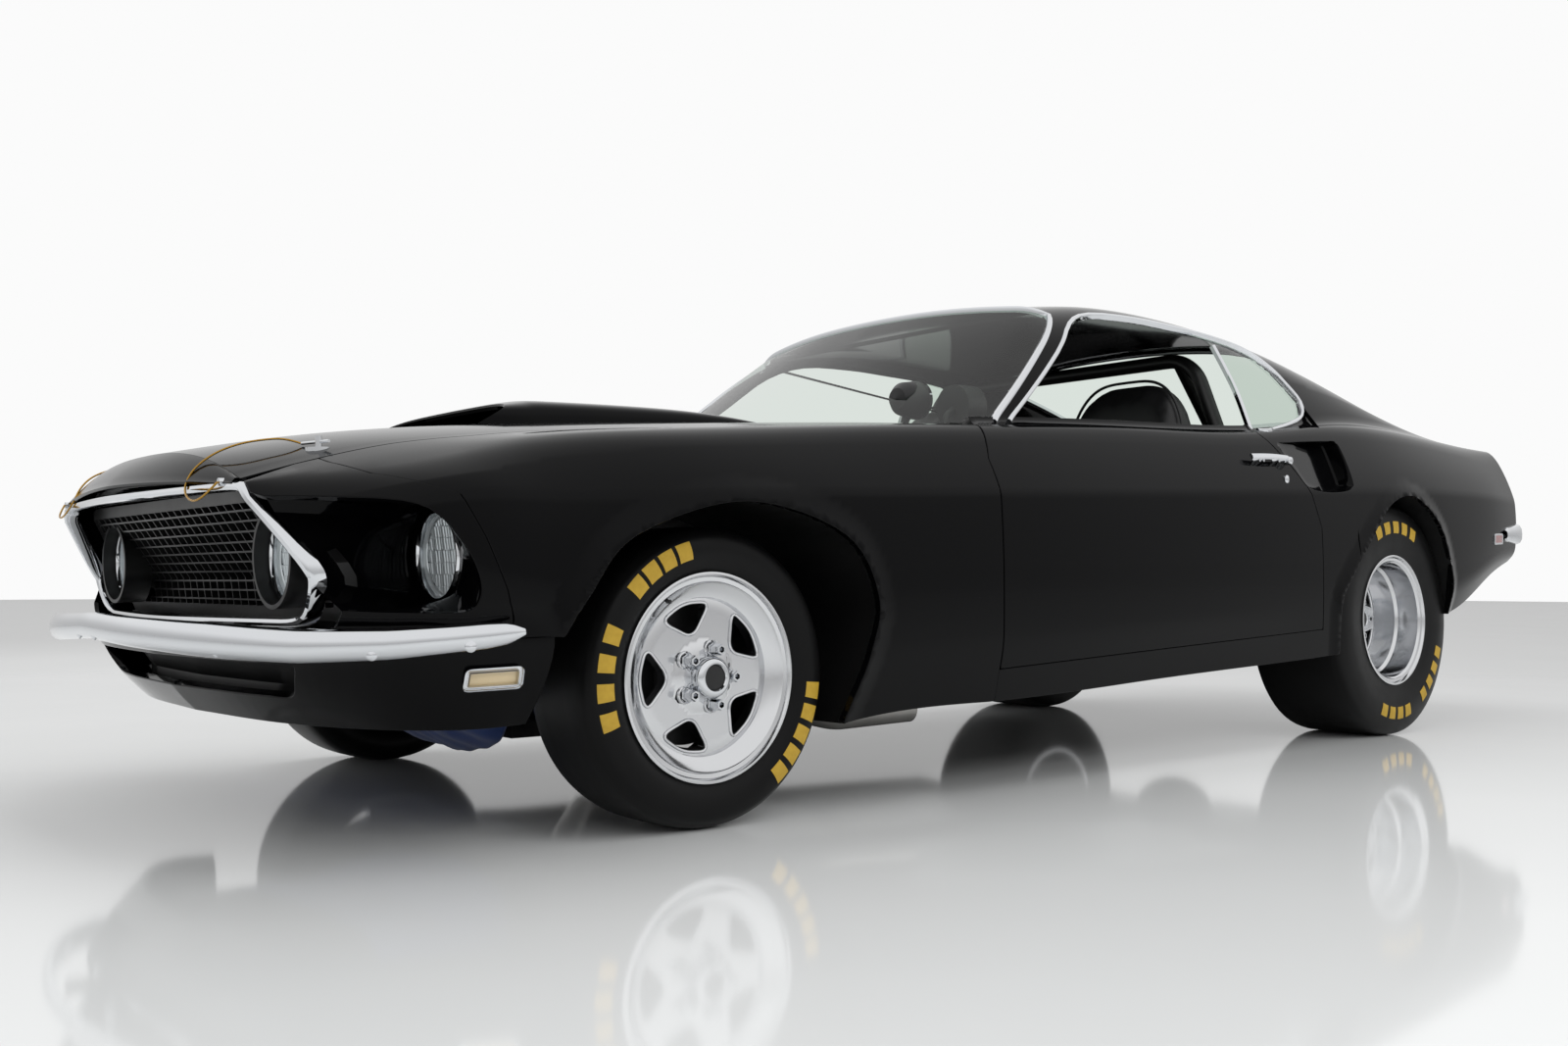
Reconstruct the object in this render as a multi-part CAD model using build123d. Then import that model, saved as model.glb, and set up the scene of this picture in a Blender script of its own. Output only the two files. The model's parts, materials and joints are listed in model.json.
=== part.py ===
from build123d import *
import math
import os

os.makedirs("parts", exist_ok=True)

# Fastback muscle car set up for the drag strip.  Millimetres, +X forward, +Y to the car's left,
# +Z up, origin on the floor under the middle of the car's length.
# The body is drawn level and then set on its wheels nose down by the rake.

# ---- driving sizes: stance and running gear ---------------------------------------------------
WHEELBASE = 2743.2
FRONT_AXLE_X = 1433.6
REAR_AXLE_X = FRONT_AXLE_X - WHEELBASE
RAKE_DEG = 2.29
FRONT_TYRE_R = 298.0
FRONT_TYRE_W = 232.0
FRONT_TYRE_MID_Y = 708.0
REAR_TYRE_R = 370.0
REAR_TYRE_W = 318.0
REAR_TYRE_MID_Y = 686.0
RIM_R = 207.5
RIM_SEAT_R = 192.0
RIM_WALL = 9.0
FRONT_LIP_Y = 813.0
REAR_LIP_Y = 838.0
FRONT_DISH = 38.0
REAR_DISH = 150.0
HUB_FACE_T = 26.0
WHEEL_WINDOWS = 5
DISC_R = 140.0
DISC_T = 22.0

# ---- driving sizes: body ----------------------------------------------------------------------
PANEL_GAP = 5.0
SKIN_SIDE = 46.0
SKIN_TOP = 30.0
ROOF_SKIN = 34.0
CABIN_HALF = 744.0
CABIN_FRONT_X = 600.0
CABIN_REAR_X = -2270.0
FLOOR_TOP_Z = 240.0
FLOOR_T = 25.0
GLASS_T = 6.0
SEAT_GAP = 0.3
DOOR_DRAFT_DEG = 3.0
NOSE_CUT_Z = 404.0
AXLE_HUMP_Z = 480.0
COWL_REAR_X = 560.0
COWL_UNDER_Z = 790.0

# Sections of the lower body, nose to tail, level body frame.  Columns: station X, then half
# width and height of the rocker edge, lower crease, side crease, shoulder and shoulder inner
# edge, and the height of the crown on the centre line.
LOWER = (
    # x      yA   zA    yB   zB    yC   zC    yD   zD    yE   zE    zF
    (2250,  575, 430,  600, 446,  648, 560,  572, 681,  545, 690,  770),
    (2000,  800, 400,  860, 440,  868, 652,  802, 706,  597, 756,  809),
    (1850,  862, 400,  878, 440,  878, 654,  806, 742,  650, 773,  824),
    (1434,  860, 200,  884, 315,  890, 657,  793, 785,  698, 798,  846),
    (1000,  850, 181,  884, 312,  889, 659,  786, 806,  722, 815,  858),
    (600,   850, 181,  882, 310,  888, 661,  790, 822,  738, 829,  868),
    (0,     850, 181,  880, 310,  886, 663,  796, 833,  768, 838,  840),
    (-700,  850, 181,  880, 315,  886, 666,  806, 848,  766, 852,  854),
    (-1000, 850, 190,  882, 320,  886, 668,  800, 870,  752, 880,  882),
    (-1310, 845, 225,  884, 330,  887, 668,  792, 876,  730, 892,  894),
    (-1800, 832, 278,  868, 370,  868, 660,  768, 850,  702, 868,  870),
    (-2100, 806, 375,  838, 432,  842, 650,  752, 828,  690, 848,  850),
    (-2340, 772, 420,  800, 450,  806, 640,  732, 822,  688, 832,  834),
)

# Sections of the greenhouse and fast back.  Columns: station X, base half width and height,
# rail half width and height, crown height.
UPPER = (
    # x      yb   zb    yr   zr    zc
    (660,   742, 820,  640, 1120, 1160),
    (56,    768, 832,  622, 1172, 1226),
    (-120,  770, 834,  616, 1190, 1246),
    (-500,  768, 842,  614, 1188, 1244),
    (-900,  758, 862,  622, 1140, 1200),
    (-1300, 730, 884,  622, 1054, 1118),
    (-1700, 706, 870,  604, 946, 1008),
    (-2000, 694, 850,  590, 876, 922),
    (-2340, 690, 824,  560, 836, 862),
)

# ---- helpers ------------------------------------------------------------------------------------


def on_body(shape):
    """Set a level body piece on the raked car."""
    hub = Pos(FRONT_AXLE_X, 0, 0)
    return hub * Rot(0, RAKE_DEG, 0) * hub.inverse() * shape


def mirrored(shape):
    """The same piece on the other side of the car."""
    return mirror(shape, Plane.XZ)


def side_prism(points, y_from, y_to, grow=0.0, draft=0.0):
    """Prism with an (x, z) outline, grown by grow, that runs across the car from y_to to y_from.

    With a draft angle it gets narrower towards y_from.
    """
    outline = make_face(Polyline(*points, close=True))
    if grow:
        outline = offset(outline, grow, kind=Kind.INTERSECTION)
    outer = Plane(origin=(0, y_to, 0), x_dir=(1, 0, 0), z_dir=(0, -1, 0))
    return extrude(outer * outline, amount=y_to - y_from, taper=draft)


def plan_prism(points, z_from, z_to):
    """Prism with an (x, y) outline that runs up from z_from to z_to."""
    outline = Polyline(*[(x, y, z_from) for x, y in points], close=True)
    return extrude(make_face(outline), amount=z_to - z_from, dir=(0, 0, 1))


def front_prism(points, x_from, x_to):
    """Prism with a (y, z) outline that runs forward from x_from to x_to."""
    outline = Polyline(*[(x_from, y, z) for y, z in points], close=True)
    return extrude(make_face(outline), amount=x_to - x_from, dir=(1, 0, 0))


def block(x_from, x_to, y_from, y_to, z_from, z_to):
    """Box given by its two corners."""
    size = (x_to - x_from, abs(y_to - y_from), z_to - z_from)
    mid = ((x_from + x_to) / 2, (y_from + y_to) / 2, (z_from + z_to) / 2)
    return Pos(*mid) * Box(*size)


def cross_cylinder(x, z, radius, y_from, y_to):
    """Cylinder lying across the car."""
    mid = Pos(x, (y_from + y_to) / 2, z) * Rot(90, 0, 0)
    return mid * Cylinder(radius, abs(y_to - y_from))


def bar(points, radius, bend):
    """Round bar or tube that follows points, with one bend radius."""
    path = FilletPolyline(*points, radius=bend) if len(points) > 2 else Line(*points)
    return sweep(Plane(path @ 0, z_dir=path % 0) * Circle(radius), path=path)


def cord(points, radius):
    """Free cable of straight runs, joined by arcs as large as the runs allow."""
    spots = [Vector(*p) for p in points]
    runs = [b - a for a, b in zip(spots, spots[1:])]
    radii = [0.45 * min(a.length, b.length) / math.tan(math.radians(a.get_angle(b)) / 2)
             for a, b in zip(runs, runs[1:])]
    print("cord radii", [round(r, 1) for r in radii])
    path = FilletPolyline(*spots, radius=radii)
    return sweep(Plane(path @ 0, z_dir=path % 0) * Circle(radius), path=path)


def closed_section(x, corners, crown):
    """Face across the car at x: corners run up the left side, crown is the top middle."""
    left = [(x, y, z) for y, z in corners]
    right = [(x, -y, z) for y, z in reversed(corners)]
    edges = [Line(a, b) for a, b in zip(left, left[1:])]
    edges.append(ThreePointArc(left[-1], (x, 0, crown), right[0]))
    edges += [Line(a, b) for a, b in zip(right, right[1:])]
    edges.append(Line(right[-1], left[0]))
    return Face(Wire([e.edge() for e in edges]))


def lower_section(row, side=0.0, top=0.0, drop=0.0):
    """Section of the lower body, drawn in by side and top and let down by drop."""
    x, ya, za, yb, zb, yc, zc, yd, zd, ye, ze, zf = row
    corners = [(ya - side, za - drop), (yb - side, zb), (yc - side, zc)]
    corners += [(yd - side, zd - top), (ye - side, ze - top)]
    return closed_section(x, corners, zf - top)


def upper_section(row, skin=0.0, drop=0.0):
    """Section of the greenhouse, drawn in by skin and let down by drop."""
    x, yb, zb, yr, zr, zc = row
    return closed_section(x, [(yb - skin, zb - drop), (yr - skin, zr - skin)], zc - skin)


# ---- body volumes -------------------------------------------------------------------------------
lower_solid = loft([lower_section(r) for r in LOWER], ruled=True)
nose_rows = [r for r in LOWER if r[0] >= CABIN_FRONT_X]
engine_bay = loft([lower_section(r, SKIN_SIDE, SKIN_TOP, 250) for r in nose_rows], ruled=True)
CABIN_OUTLINE = ((CABIN_FRONT_X, CABIN_HALF), (-1000, CABIN_HALF), (-1310, 715), (-1800, 690),
                 (CABIN_REAR_X, 660))


def cabin_prism(inset, z_from, z_to):
    """Prism that fills the cabin in plan, drawn in by inset at the sides."""
    half = [(x, y - inset) for x, y in CABIN_OUTLINE]
    return plan_prism(half + [(x, -y) for x, y in reversed(half)], z_from, z_to)


cabin_void = cabin_prism(0, FLOOR_TOP_Z - FLOOR_T, 1000)
under_tail = block(CABIN_REAR_X, -1000, -640, 640, 100, 500)

# Front wheel arch and rear wheel arch as (x, z) lips with arcs.
ARCH_FRONT = ((1118, 150), (1062, 314), (1038, 430), (1134, 573), (1400, 643), (1650, 581),
              (1752, 470), (1800, 404), (1830, 150))
ARCH_REAR = ((-885, 150), (-893, 340), (-1090, 550), (-1322, 658), (-1545, 596), (-1625, 470),
             (-1640, 380), (-1660, 150))


def arch_cut(p, y_from, y_to):
    """Wheel arch opening: straight legs and an arc over each half of the wheel."""
    at = [(x, y_from, z) for x, z in p]
    legs = len(at) - 6
    edges = [Line(a, b) for a, b in zip(at[:legs], at[1:legs])]
    edges += [ThreePointArc(*at[legs - 1:legs + 2]), ThreePointArc(*at[legs + 1:legs + 4])]
    edges += [Line(a, b) for a, b in zip(at[legs + 3:], at[legs + 4:])]
    edges.append(Line(at[-1], at[0]))
    face = Face(Wire([e.edge() for e in edges]))
    return extrude(face, amount=y_to - y_from, dir=(0, 1, 0))


arch_front = arch_cut(ARCH_FRONT, 380, 1000)
arch_rear = arch_cut(ARCH_REAR, 480, 1000)
REAR_HUB_B = (-1322.0, 260.0)
rear_well = cross_cylinder(REAR_HUB_B[0], REAR_HUB_B[1], REAR_TYRE_R + 28, 480, 850)


nose_lip = block(2232, 2300, -560, 560, 692, 900)
front_void = engine_bay - nose_lip
rear_void = cabin_void + under_tail
shell = lower_solid - front_void - rear_void
shell -= block(1780, 2300, -950, 950, 0, NOSE_CUT_Z)
shell -= arch_front
shell -= mirrored(arch_front)
shell -= arch_rear
shell -= mirrored(arch_rear)
shell -= rear_well
shell -= mirrored(rear_well)

# ---- panel outlines -----------------------------------------------------------------------------
HOOD_REAR_X = 640
HOOD_SIDE = ((640, 735), (1000, 719), (1436, 695), (1848, 647), (1981, 598), (2148, 557),
             (2290, 540))
DOOR_OUTER_Y = 900.0
DOOR = ((566, 900), (572, 830), (622, 740), (628, 660), (632, 254), (-800, 262), (-792, 560),
        (-745, 660), (-640, 790), (-604, 845), (-596, 900))
SEAM = ((2105, 800), (2085, 700), (1982, 653), (1905, 493), (1880, 404), (1880, 300))


hood_plan = list(HOOD_SIDE) + [(x, -y) for x, y in reversed(HOOD_SIDE)]
hood_zone = plan_prism(hood_plan, 690, 1100)
hood_gap_plan = [(HOOD_REAR_X - PANEL_GAP, 742)] + [(x, y + PANEL_GAP) for x, y in HOOD_SIDE]
hood_gap_zone = plan_prism(hood_gap_plan + [(x, -y) for x, y in reversed(hood_gap_plan)], 600, 1100)
cowl_zone = block(COWL_REAR_X, HOOD_REAR_X - PANEL_GAP, -742, 742, 700, 1100)
door_zone = side_prism(DOOR, CABIN_HALF, DOOR_OUTER_Y, draft=DOOR_DRAFT_DEG)
door_gap_zone = side_prism(DOOR, 560, DOOR_OUTER_Y, grow=PANEL_GAP)
ahead_of_seam = side_prism(list(SEAM) + [(2400, 300), (2400, 800)], 0, 1000)
door_front_x = DOOR[4][0] + PANEL_GAP
fender_zone = side_prism([(560, 900), (560, 825), (door_front_x - 4, 740), (door_front_x, 660),
                          (door_front_x, 100), (2400, 100), (2400, 900)], 0, 1000)



def largest(shape):
    """The biggest solid of a cut, without the slivers that stay in the shut lines."""
    return max(shape.solids(), key=lambda s: s.volume)


sprung = {}
left_shell = shell & block(-2500, 2500, 0, 1000, 0, 1200)
hood_panel = largest(shell & hood_zone)
fender = largest((left_shell & fender_zone) - hood_gap_zone - ahead_of_seam - door_gap_zone - cowl_zone)
door_left = largest(left_shell & door_zone)
body_side = left_shell - door_gap_zone - fender_zone - cowl_zone - block(-2600, 2500, -10, 480, 0, 1200)
SIDE_SCOOP = ((-652, 810), (-728, 823), (-1008, 833), (-1008, 690), (-846, 659), (-735, 674))
SIDE_SCOOP_PLAN = ((-640, 900), (-640, 876), (-1020, 812), (-1020, 900))
side_scoop = side_prism(SIDE_SCOOP, CABIN_HALF, 900) & plan_prism(SIDE_SCOOP_PLAN, 600, 900)
body_side_left = largest(body_side - side_scoop)
cowl = largest((lower_solid & cowl_zone) - block(500, 700, -800, 800, 100, COWL_UNDER_Z))

# ---- greenhouse: roof with its pillars and sails, glass, deck and tail --------------------------
WINDSHIELD_BASE_X = 606
WINDSHIELD_EDGE_X = 478
WINDSHIELD_BASE_Z = 842
WINDSHIELD_LEAN = (-430, 335)
upper_solid = loft([upper_section(r) for r in UPPER], ruled=True)
upper_inner = loft([upper_section(r, ROOF_SKIN, 60) for r in UPPER], ruled=True)
ahead = [(WINDSHIELD_EDGE_X, 900), (1400, 900), (1400, -900), (WINDSHIELD_EDGE_X, -900)]
at = [Vector(x, y, WINDSHIELD_BASE_Z) for x, y in ahead]
screen_curve = ThreePointArc(at[3], Vector(WINDSHIELD_BASE_X, 0, WINDSHIELD_BASE_Z), at[0])
screen_face = Face(Wire([screen_curve.edge(), Line(at[0], at[1]).edge(), Line(at[1], at[2]).edge(),
                         Line(at[2], at[3]).edge()]))
lean = Vector(WINDSHIELD_LEAN[0], 0, WINDSHIELD_LEAN[1])
ahead_of_screen = extrude(Pos(-lean * 0.2) * screen_face, amount=lean.length * 1.6, dir=lean.normalized())
upper_solid -= ahead_of_screen
upper_inner -= Pos(-ROOF_SKIN * 1.6, 0, 0) * ahead_of_screen
upper_shell = upper_solid - upper_inner - lower_solid
cowl = largest(cowl - upper_solid)

WINDOW = ((437, 838), (166, 1038), (44, 1131), (-12, 1166), (-69, 1173), (-300, 1179),
          (-485, 1168), (-679, 1152), (-825, 1131), (-895, 1081), (-950, 1013), (-988, 957),
          (-968, 908), (-915, 880), (-696, 800), (437, 800))
SCREEN = ((728, 846), (592, 1158), (560, 1176), (-560, 1176), (-592, 1158), (-728, 846))
REAR_GLASS = ((-1010, 520), (-1560, 560), (-1850, 590), (-1850, -590), (-1560, -560), (-1010, -520))
TRUNK = ((-1930, 560), (-2318, 530), (-2318, -530), (-1930, -560))
QUARTER_GLASS_X = -645
window_zone = side_prism(WINDOW, 480, 900)
screen_zone = front_prism(SCREEN, 0, 800)
rear_glass_zone = plan_prism(REAR_GLASS, 760, 1300)
trunk_zone = plan_prism(TRUNK, 780, 1000)
trunk_gap_zone = plan_prism([(x + math.copysign(PANEL_GAP, x + 2120), y + math.copysign(PANEL_GAP, y))
                             for x, y in TRUNK], 780, 1000)

roof = upper_shell - window_zone - mirrored(window_zone) - screen_zone - rear_glass_zone - trunk_gap_zone
door_top_gap = Pos(0, 0, PANEL_GAP) * lower_solid & block(-620, 590, -900, 900, 700, 900)
roof_panel = largest(roof - door_top_gap)


def glass(zone, shift):
    """Pane in the outer surface of the greenhouse, one glass thickness deep."""
    return largest((upper_solid & zone) - Pos(*shift) * upper_solid)


windshield = glass(screen_zone, (-GLASS_T * 1.3, 0, 0))
rear_window = glass(rear_glass_zone, (0, 0, -GLASS_T * 1.1))
quarter_zone = window_zone & block(-1100, QUARTER_GLASS_X, 400, 900, 846, 1300)
quarter_pane = largest(glass(quarter_zone, (0, -GLASS_T, 0)) - lower_solid)
quarter_windows = Compound(children=[quarter_pane, mirrored(quarter_pane)])
trunk_lid = largest(upper_shell & trunk_zone)

TAIL_FACE_X = LOWER[-1][0]
PLATE_HOLE_SPACING = 177.8
PLATE_HOLE_R = 3.5
PLATE_HOLE_Z = 592.0
tail_outline = [(-2272, 425), (TAIL_FACE_X, 425), (TAIL_FACE_X, 800), (-2272, 800)]
tail_panel = (lower_solid & side_prism(tail_outline, -900, 900)) - trunk_gap_zone
tail_panel -= body_side_left
tail_panel -= mirrored(body_side_left)
tail_panel = largest(tail_panel)


# ---- front end: headlamp extensions, grille, lamps, valance, bumper ----------------------------
LAMP_R = 84.0
BUCKET_WALL = 8.0
OUTER_LAMP = (1936, 698, 552)
INNER_LAMP = (2126, 487, 556)
SURROUND_HALF = ((545, 684), (572, 677), (650, 545), (646, 500), (592, 440))
SURROUND = SURROUND_HALF + tuple((-y, z) for y, z in reversed(SURROUND_HALF))
SURROUND_W = 18.0
GRILLE_SLOPE = ((2250, 692), (2244, 660), (2160, 520), (2150, 430))
SURROUND_DEPTH = 26.0
GRILLE_RECESS = 62.0
GRILLE_T = 22.0
MESH_PITCH_Y = 42.0
MESH_PITCH_Z = 19.0
MESH_BAR = 3.5


def sloped_slab(front, depth):
    """Slab across the nose that follows the grille's forward lean."""
    face = [(x - front, z) for x, z in GRILLE_SLOPE]
    back = [(x - front - depth, z) for x, z in reversed(GRILLE_SLOPE)]
    return side_prism(face + back, -720, 720)


def opening_prism(width):
    """Prism through the nose with the surround's loop drawn in by width."""
    loop = make_face(Polyline(*SURROUND, close=True))
    inner = offset(loop, -width, kind=Kind.INTERSECTION) if width else loop
    return extrude(Plane(origin=(1900, 0, 0), x_dir=(0, 1, 0), z_dir=(1, 0, 0)) * inner, amount=500)


surround_hole = opening_prism(0)
surround = (opening_prism(0) - opening_prism(SURROUND_W)) & sloped_slab(0, SURROUND_DEPTH)
surround = largest(surround)
ahead_of_grille = side_prism(list(GRILLE_SLOPE) + [(2400, 430), (2400, 692)], -720, 720)
lower_nose = block(1700, 2400, 562, 1000, NOSE_CUT_Z, 720)
extension = (lower_solid & lower_nose & ahead_of_seam) - hood_gap_zone - surround_hole - ahead_of_grille
SCOOP_PLAN = ((1958, 606), (1958, 790), (2004, 856), (2012, 1000), (2400, 1000), (2400, 600))
extension -= plan_prism(SCOOP_PLAN, 452, 652)
extension -= Pos(2030, OUTER_LAMP[1], OUTER_LAMP[2]) * Rot(0, 90, 0) * Cylinder(LAMP_R + BUCKET_WALL, 180)
extension -= Pos(1900, OUTER_LAMP[1], OUTER_LAMP[2]) * Rot(0, 90, 0) * Cylinder(LAMP_R, 120)
extension_left = largest(extension - fender)


def headlamp(spot):
    """Round sealed lamp with a domed lens, facing forward."""
    x, y, z = spot
    lens = ThreePointArc((x + 32, 0, 0), (x + 29, 0, LAMP_R * 0.55), (x + 20, 0, LAMP_R - 4))
    shell_line = Polyline((x + 20, 0, LAMP_R - 4), (x + 20, 0, LAMP_R), (x - 4, 0, LAMP_R),
                          (x - 60, 0, 30), (x - 60, 0, 0), (x + 32, 0, 0))
    return Pos(0, y, z) * revolve(make_face(lens + shell_line), Axis.X)


lamps = [headlamp(OUTER_LAMP), headlamp(INNER_LAMP)]
headlamps = Compound(children=lamps + [mirrored(lamp) for lamp in lamps])

x_in, y_in, z_in = INNER_LAMP
cup = Pos(x_in + 10, y_in, z_in) * Rot(0, 90, 0) * Cylinder(LAMP_R + BUCKET_WALL, 60)
cup_hole = Pos(x_in + 10, y_in, z_in) * Rot(0, 90, 0) * Cylinder(LAMP_R, 300)
mesh_plane = Plane(origin=(1900, 0, 0), x_dir=(0, 1, 0), z_dir=(1, 0, 0))
mesh_face = make_face(Polyline(*SURROUND, close=True))
cells = GridLocations(MESH_PITCH_Y, MESH_PITCH_Z, 28, 11)
mesh_cut = Sketch() + [loc * Rectangle(MESH_PITCH_Y - MESH_BAR, MESH_PITCH_Z - MESH_BAR) for loc in cells]
window_face = offset(mesh_face, -SURROUND_W - 6, kind=Kind.INTERSECTION)
lattice = mesh_face - (window_face & (Pos(0, 561) * mesh_cut))
grille = extrude(mesh_plane * lattice, amount=500) & sloped_slab(GRILLE_RECESS, GRILLE_T)
grille += cup + mirrored(cup)
grille = grille - cup_hole - mirrored(cup_hole)
grille = largest(grille)

VALANCE_TOP = ((1805, 858), (1930, 838), (2060, 776), (2170, 600), (2215, 380), (2235, 0))
VALANCE_LOW = ((1835, 800), (1930, 790), (2020, 700), (2085, 540), (2125, 340), (2145, 0))
VALANCE_TOP_Z = NOSE_CUT_Z - SEAT_GAP
VALANCE_LOW_Z = 248.0
VALANCE_T = 24.0


def valance_loop(points, z, inset):
    """Horseshoe outline in plan at one height."""
    half = [(x - inset, y - inset if y else 0, z) for x, y in points]
    tail = [(half[0][0] - (0 if not inset else 60), half[0][1], z)]
    half = tail + half[1:] if inset else half
    loop = half + [(x, -y, z) for x, y, z in reversed(half[:-1])]
    return Face(Wire.make_polygon([Vector(*p) for p in loop], close=True))


BRACKET_Y = 310.0
BRACKET_W = 44.0
SURROUND_FOOT_Z = 440.0
deck_half = [(x, y) for x, y in VALANCE_TOP[3:]]
deck_plan = [(2050, 600)] + deck_half + [(x, -y) for x, y in reversed(deck_half[:-1])] + [(2050, -600)]
deck_side = [(2125, NOSE_CUT_Z - 20), (2240, NOSE_CUT_Z - 20), (2240, VALANCE_TOP_Z),
             (2150, SURROUND_FOOT_Z - SEAT_GAP), (2125, SURROUND_FOOT_Z - SEAT_GAP)]
deck = side_prism(deck_side, -560, 560) & plan_prism(deck_plan, 300, 500)
valance_out = loft([valance_loop(VALANCE_LOW, VALANCE_LOW_Z, 0),
                    valance_loop(VALANCE_TOP, VALANCE_TOP_Z, 0)], ruled=True)
valance_in = loft([valance_loop(VALANCE_LOW, VALANCE_LOW_Z - 1, VALANCE_T),
                   valance_loop(VALANCE_TOP, VALANCE_TOP_Z + 1, VALANCE_T)], ruled=True)
valance = valance_out - valance_in - arch_front - mirrored(arch_front)
valance -= block(2000, 2300, -420, 420, 300, 372)
for side in (1, -1):
    slot_mid = side * BRACKET_Y
    deck -= block(2000, 2400, slot_mid - BRACKET_W / 2 - 2, slot_mid + BRACKET_W / 2 + 2, 400, 440)
valance = largest(valance + deck)


def bumper(outer, z_mid, height, depth, nose):
    """Chromed blade in plan, swept round the corners, with bevelled top and bottom."""
    layers = ((-0.5, nose), (-0.3, 0.0), (0.28, 0.0), (0.5, nose))
    faces = []
    for share, inset in layers:
        sign = 1 if outer[0][0] > 0 else -1
        front = [(x - sign * inset, y - 0.3 * inset * (y > 400), z_mid + share * height) for x, y in outer]
        back = [(x - sign * depth, y - depth * 0.2 * (y > 400), z_mid + share * height)
                for x, y in reversed(outer)]
        right = [(x, -y, z) for x, y, z in front[1:]]
        full = front + back[:-1] + [(x, -y, z) for x, y, z in reversed(back[:-1])] + right[::-1]
        faces.append(Face(Wire.make_polygon([Vector(*p) for p in full], close=True)))
    return loft(faces, ruled=True)


FRONT_BUMPER = ((2362.6, 0), (2351, 250), (2300, 500), (2216, 700), (2086, 834), (1895, 906))
REAR_BUMPER = ((-2402.7, 0), (-2398, 300), (-2390, 560), (-2384, 730), (-2370, 816), (-2328, 858),
               (-2270, 872), (-2140, 884))
front_bumper = bumper(FRONT_BUMPER, 428, 94, 40, 14)
rear_bumper = bumper(REAR_BUMPER, 520, 92, 26, 12)
for mid_y in (-BRACKET_Y, BRACKET_Y):
    arm = block(REAR_BUMPER[0][0], TAIL_FACE_X, mid_y - BRACKET_W / 2, mid_y + BRACKET_W / 2, 506, 534)
    tail_panel += arm - Pos(SEAT_GAP, 0, 0) * rear_bumper - rear_bumper
tail_panel = largest(tail_panel)
extension_left = largest(extension_left - bumper(FRONT_BUMPER, 428, 106, 54, 14))


# ---- rear lamps and side markers -----------------------------------------------------------------
TAIL_LAMP_W = 42.0
TAIL_LAMP_H = 130.0
TAIL_LAMP_Y = (330, 400, 470)
TAIL_LAMP_Z = 705.0
TAIL_LAMP_T = 12.0
tail_lamp_x = TAIL_FACE_X - SEAT_GAP - TAIL_LAMP_T / 2
tail_lamp_set = [Pos(tail_lamp_x, side * y, TAIL_LAMP_Z) * Box(TAIL_LAMP_T, TAIL_LAMP_W, TAIL_LAMP_H)
                 for y in TAIL_LAMP_Y for side in (1, -1)]
tail_lamps = Compound(children=tail_lamp_set)

# ---- hood fittings ---------------------------------------------------------------------------------
SCOOP_WALL = 12.0
SCOOP_MOUTH_T = 14.0
# Hood scoop stations: x, half width and rise over the hood's crown, front to back.
SCOOP = ((1640, 318, -2), (1520, 302, 56), (1440, 293, 62), (1000, 241, 44), (700, 205, 6))
SCOOP_HOLLOW_END_X = 1180.0


def crown_z(x, y=0.0):
    """Height of the hood's outer skin, from the lower body's sections."""
    rows = sorted(LOWER)
    for near, far in zip(rows, rows[1:]):
        if near[0] <= x <= far[0]:
            t = (x - near[0]) / (far[0] - near[0])
            edge_y = near[9] + t * (far[9] - near[9])
            edge_z = near[10] + t * (far[10] - near[10])
            mid_z = near[11] + t * (far[11] - near[11])
            rise = mid_z - edge_z
            radius = (edge_y ** 2 + rise ** 2) / (2 * rise)
            return mid_z - radius + math.sqrt(radius ** 2 - y ** 2)
    return rows[-1][11]


def scoop_hull(drop, narrow, x_end):
    """Solid under the scoop's skin, let down by drop and drawn in by narrow, ahead of x_end."""
    rows = [r for r in SCOOP if r[0] >= x_end]
    side_line = [(x, crown_z(x) + rise - drop) for x, _, rise in rows]
    half = [(x, y - narrow) for x, y, _ in rows]
    if x_end > SCOOP[-1][0]:
        side_line.append((x_end, crown_z(x_end) + SCOOP[-2][2] - drop))
        half.append((x_end, SCOOP[-2][1] - narrow))
    foot = [(side_line[-1][0], 700), (side_line[0][0], 700)]
    plan = half + [(x, -y) for x, y in reversed(half)]
    return side_prism(side_line + foot, -340, 340) & plan_prism(plan, 600, 1100)


mouth_half_y = SCOOP[0][1] - 3 * SCOOP_WALL
mouth = block(1540, 1800, -mouth_half_y, mouth_half_y, 700, crown_z(1560) + SCOOP[1][2] - SCOOP_MOUTH_T)
hood_scoop = scoop_hull(0, 0, 0) - scoop_hull(SCOOP_WALL, SCOOP_WALL, SCOOP_HOLLOW_END_X) - mouth
hood_scoop = largest(hood_scoop - lower_solid)

PIN_X = 2078.0
PIN_Y = 500.0
PIN_R = 6.0
CORD_R = 2.0
CLIP_R = 3.0
CLIP_RISE = 16.0
HOOD_FRONT_X = LOWER[0][0]
EYELET = (HOOD_FRONT_X, 505, 692)
EYELET_T = 12.0
pin_z = crown_z(PIN_X, PIN_Y)
clip_z = pin_z + CLIP_RISE
hood_pin = Pos(PIN_X, PIN_Y, pin_z + 10) * Cylinder(PIN_R, 34)
hood_pin += Pos(PIN_X, PIN_Y, pin_z + 1.5) * Cylinder(24, 8)
hood_pin += bar([(PIN_X - 8, PIN_Y + 28, clip_z), (PIN_X + 13, PIN_Y - 45, clip_z)], CLIP_R, 0)
hood_pin -= hood_panel
eyelet_x = EYELET[0] + SEAT_GAP + EYELET_T / 2
eyelet = Pos(eyelet_x, EYELET[1], EYELET[2]) * Rot(0, 90, 0) * Cylinder(7, EYELET_T)
hood_pins = Compound(children=[hood_pin, mirrored(hood_pin), eyelet, mirrored(eyelet)])

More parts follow.
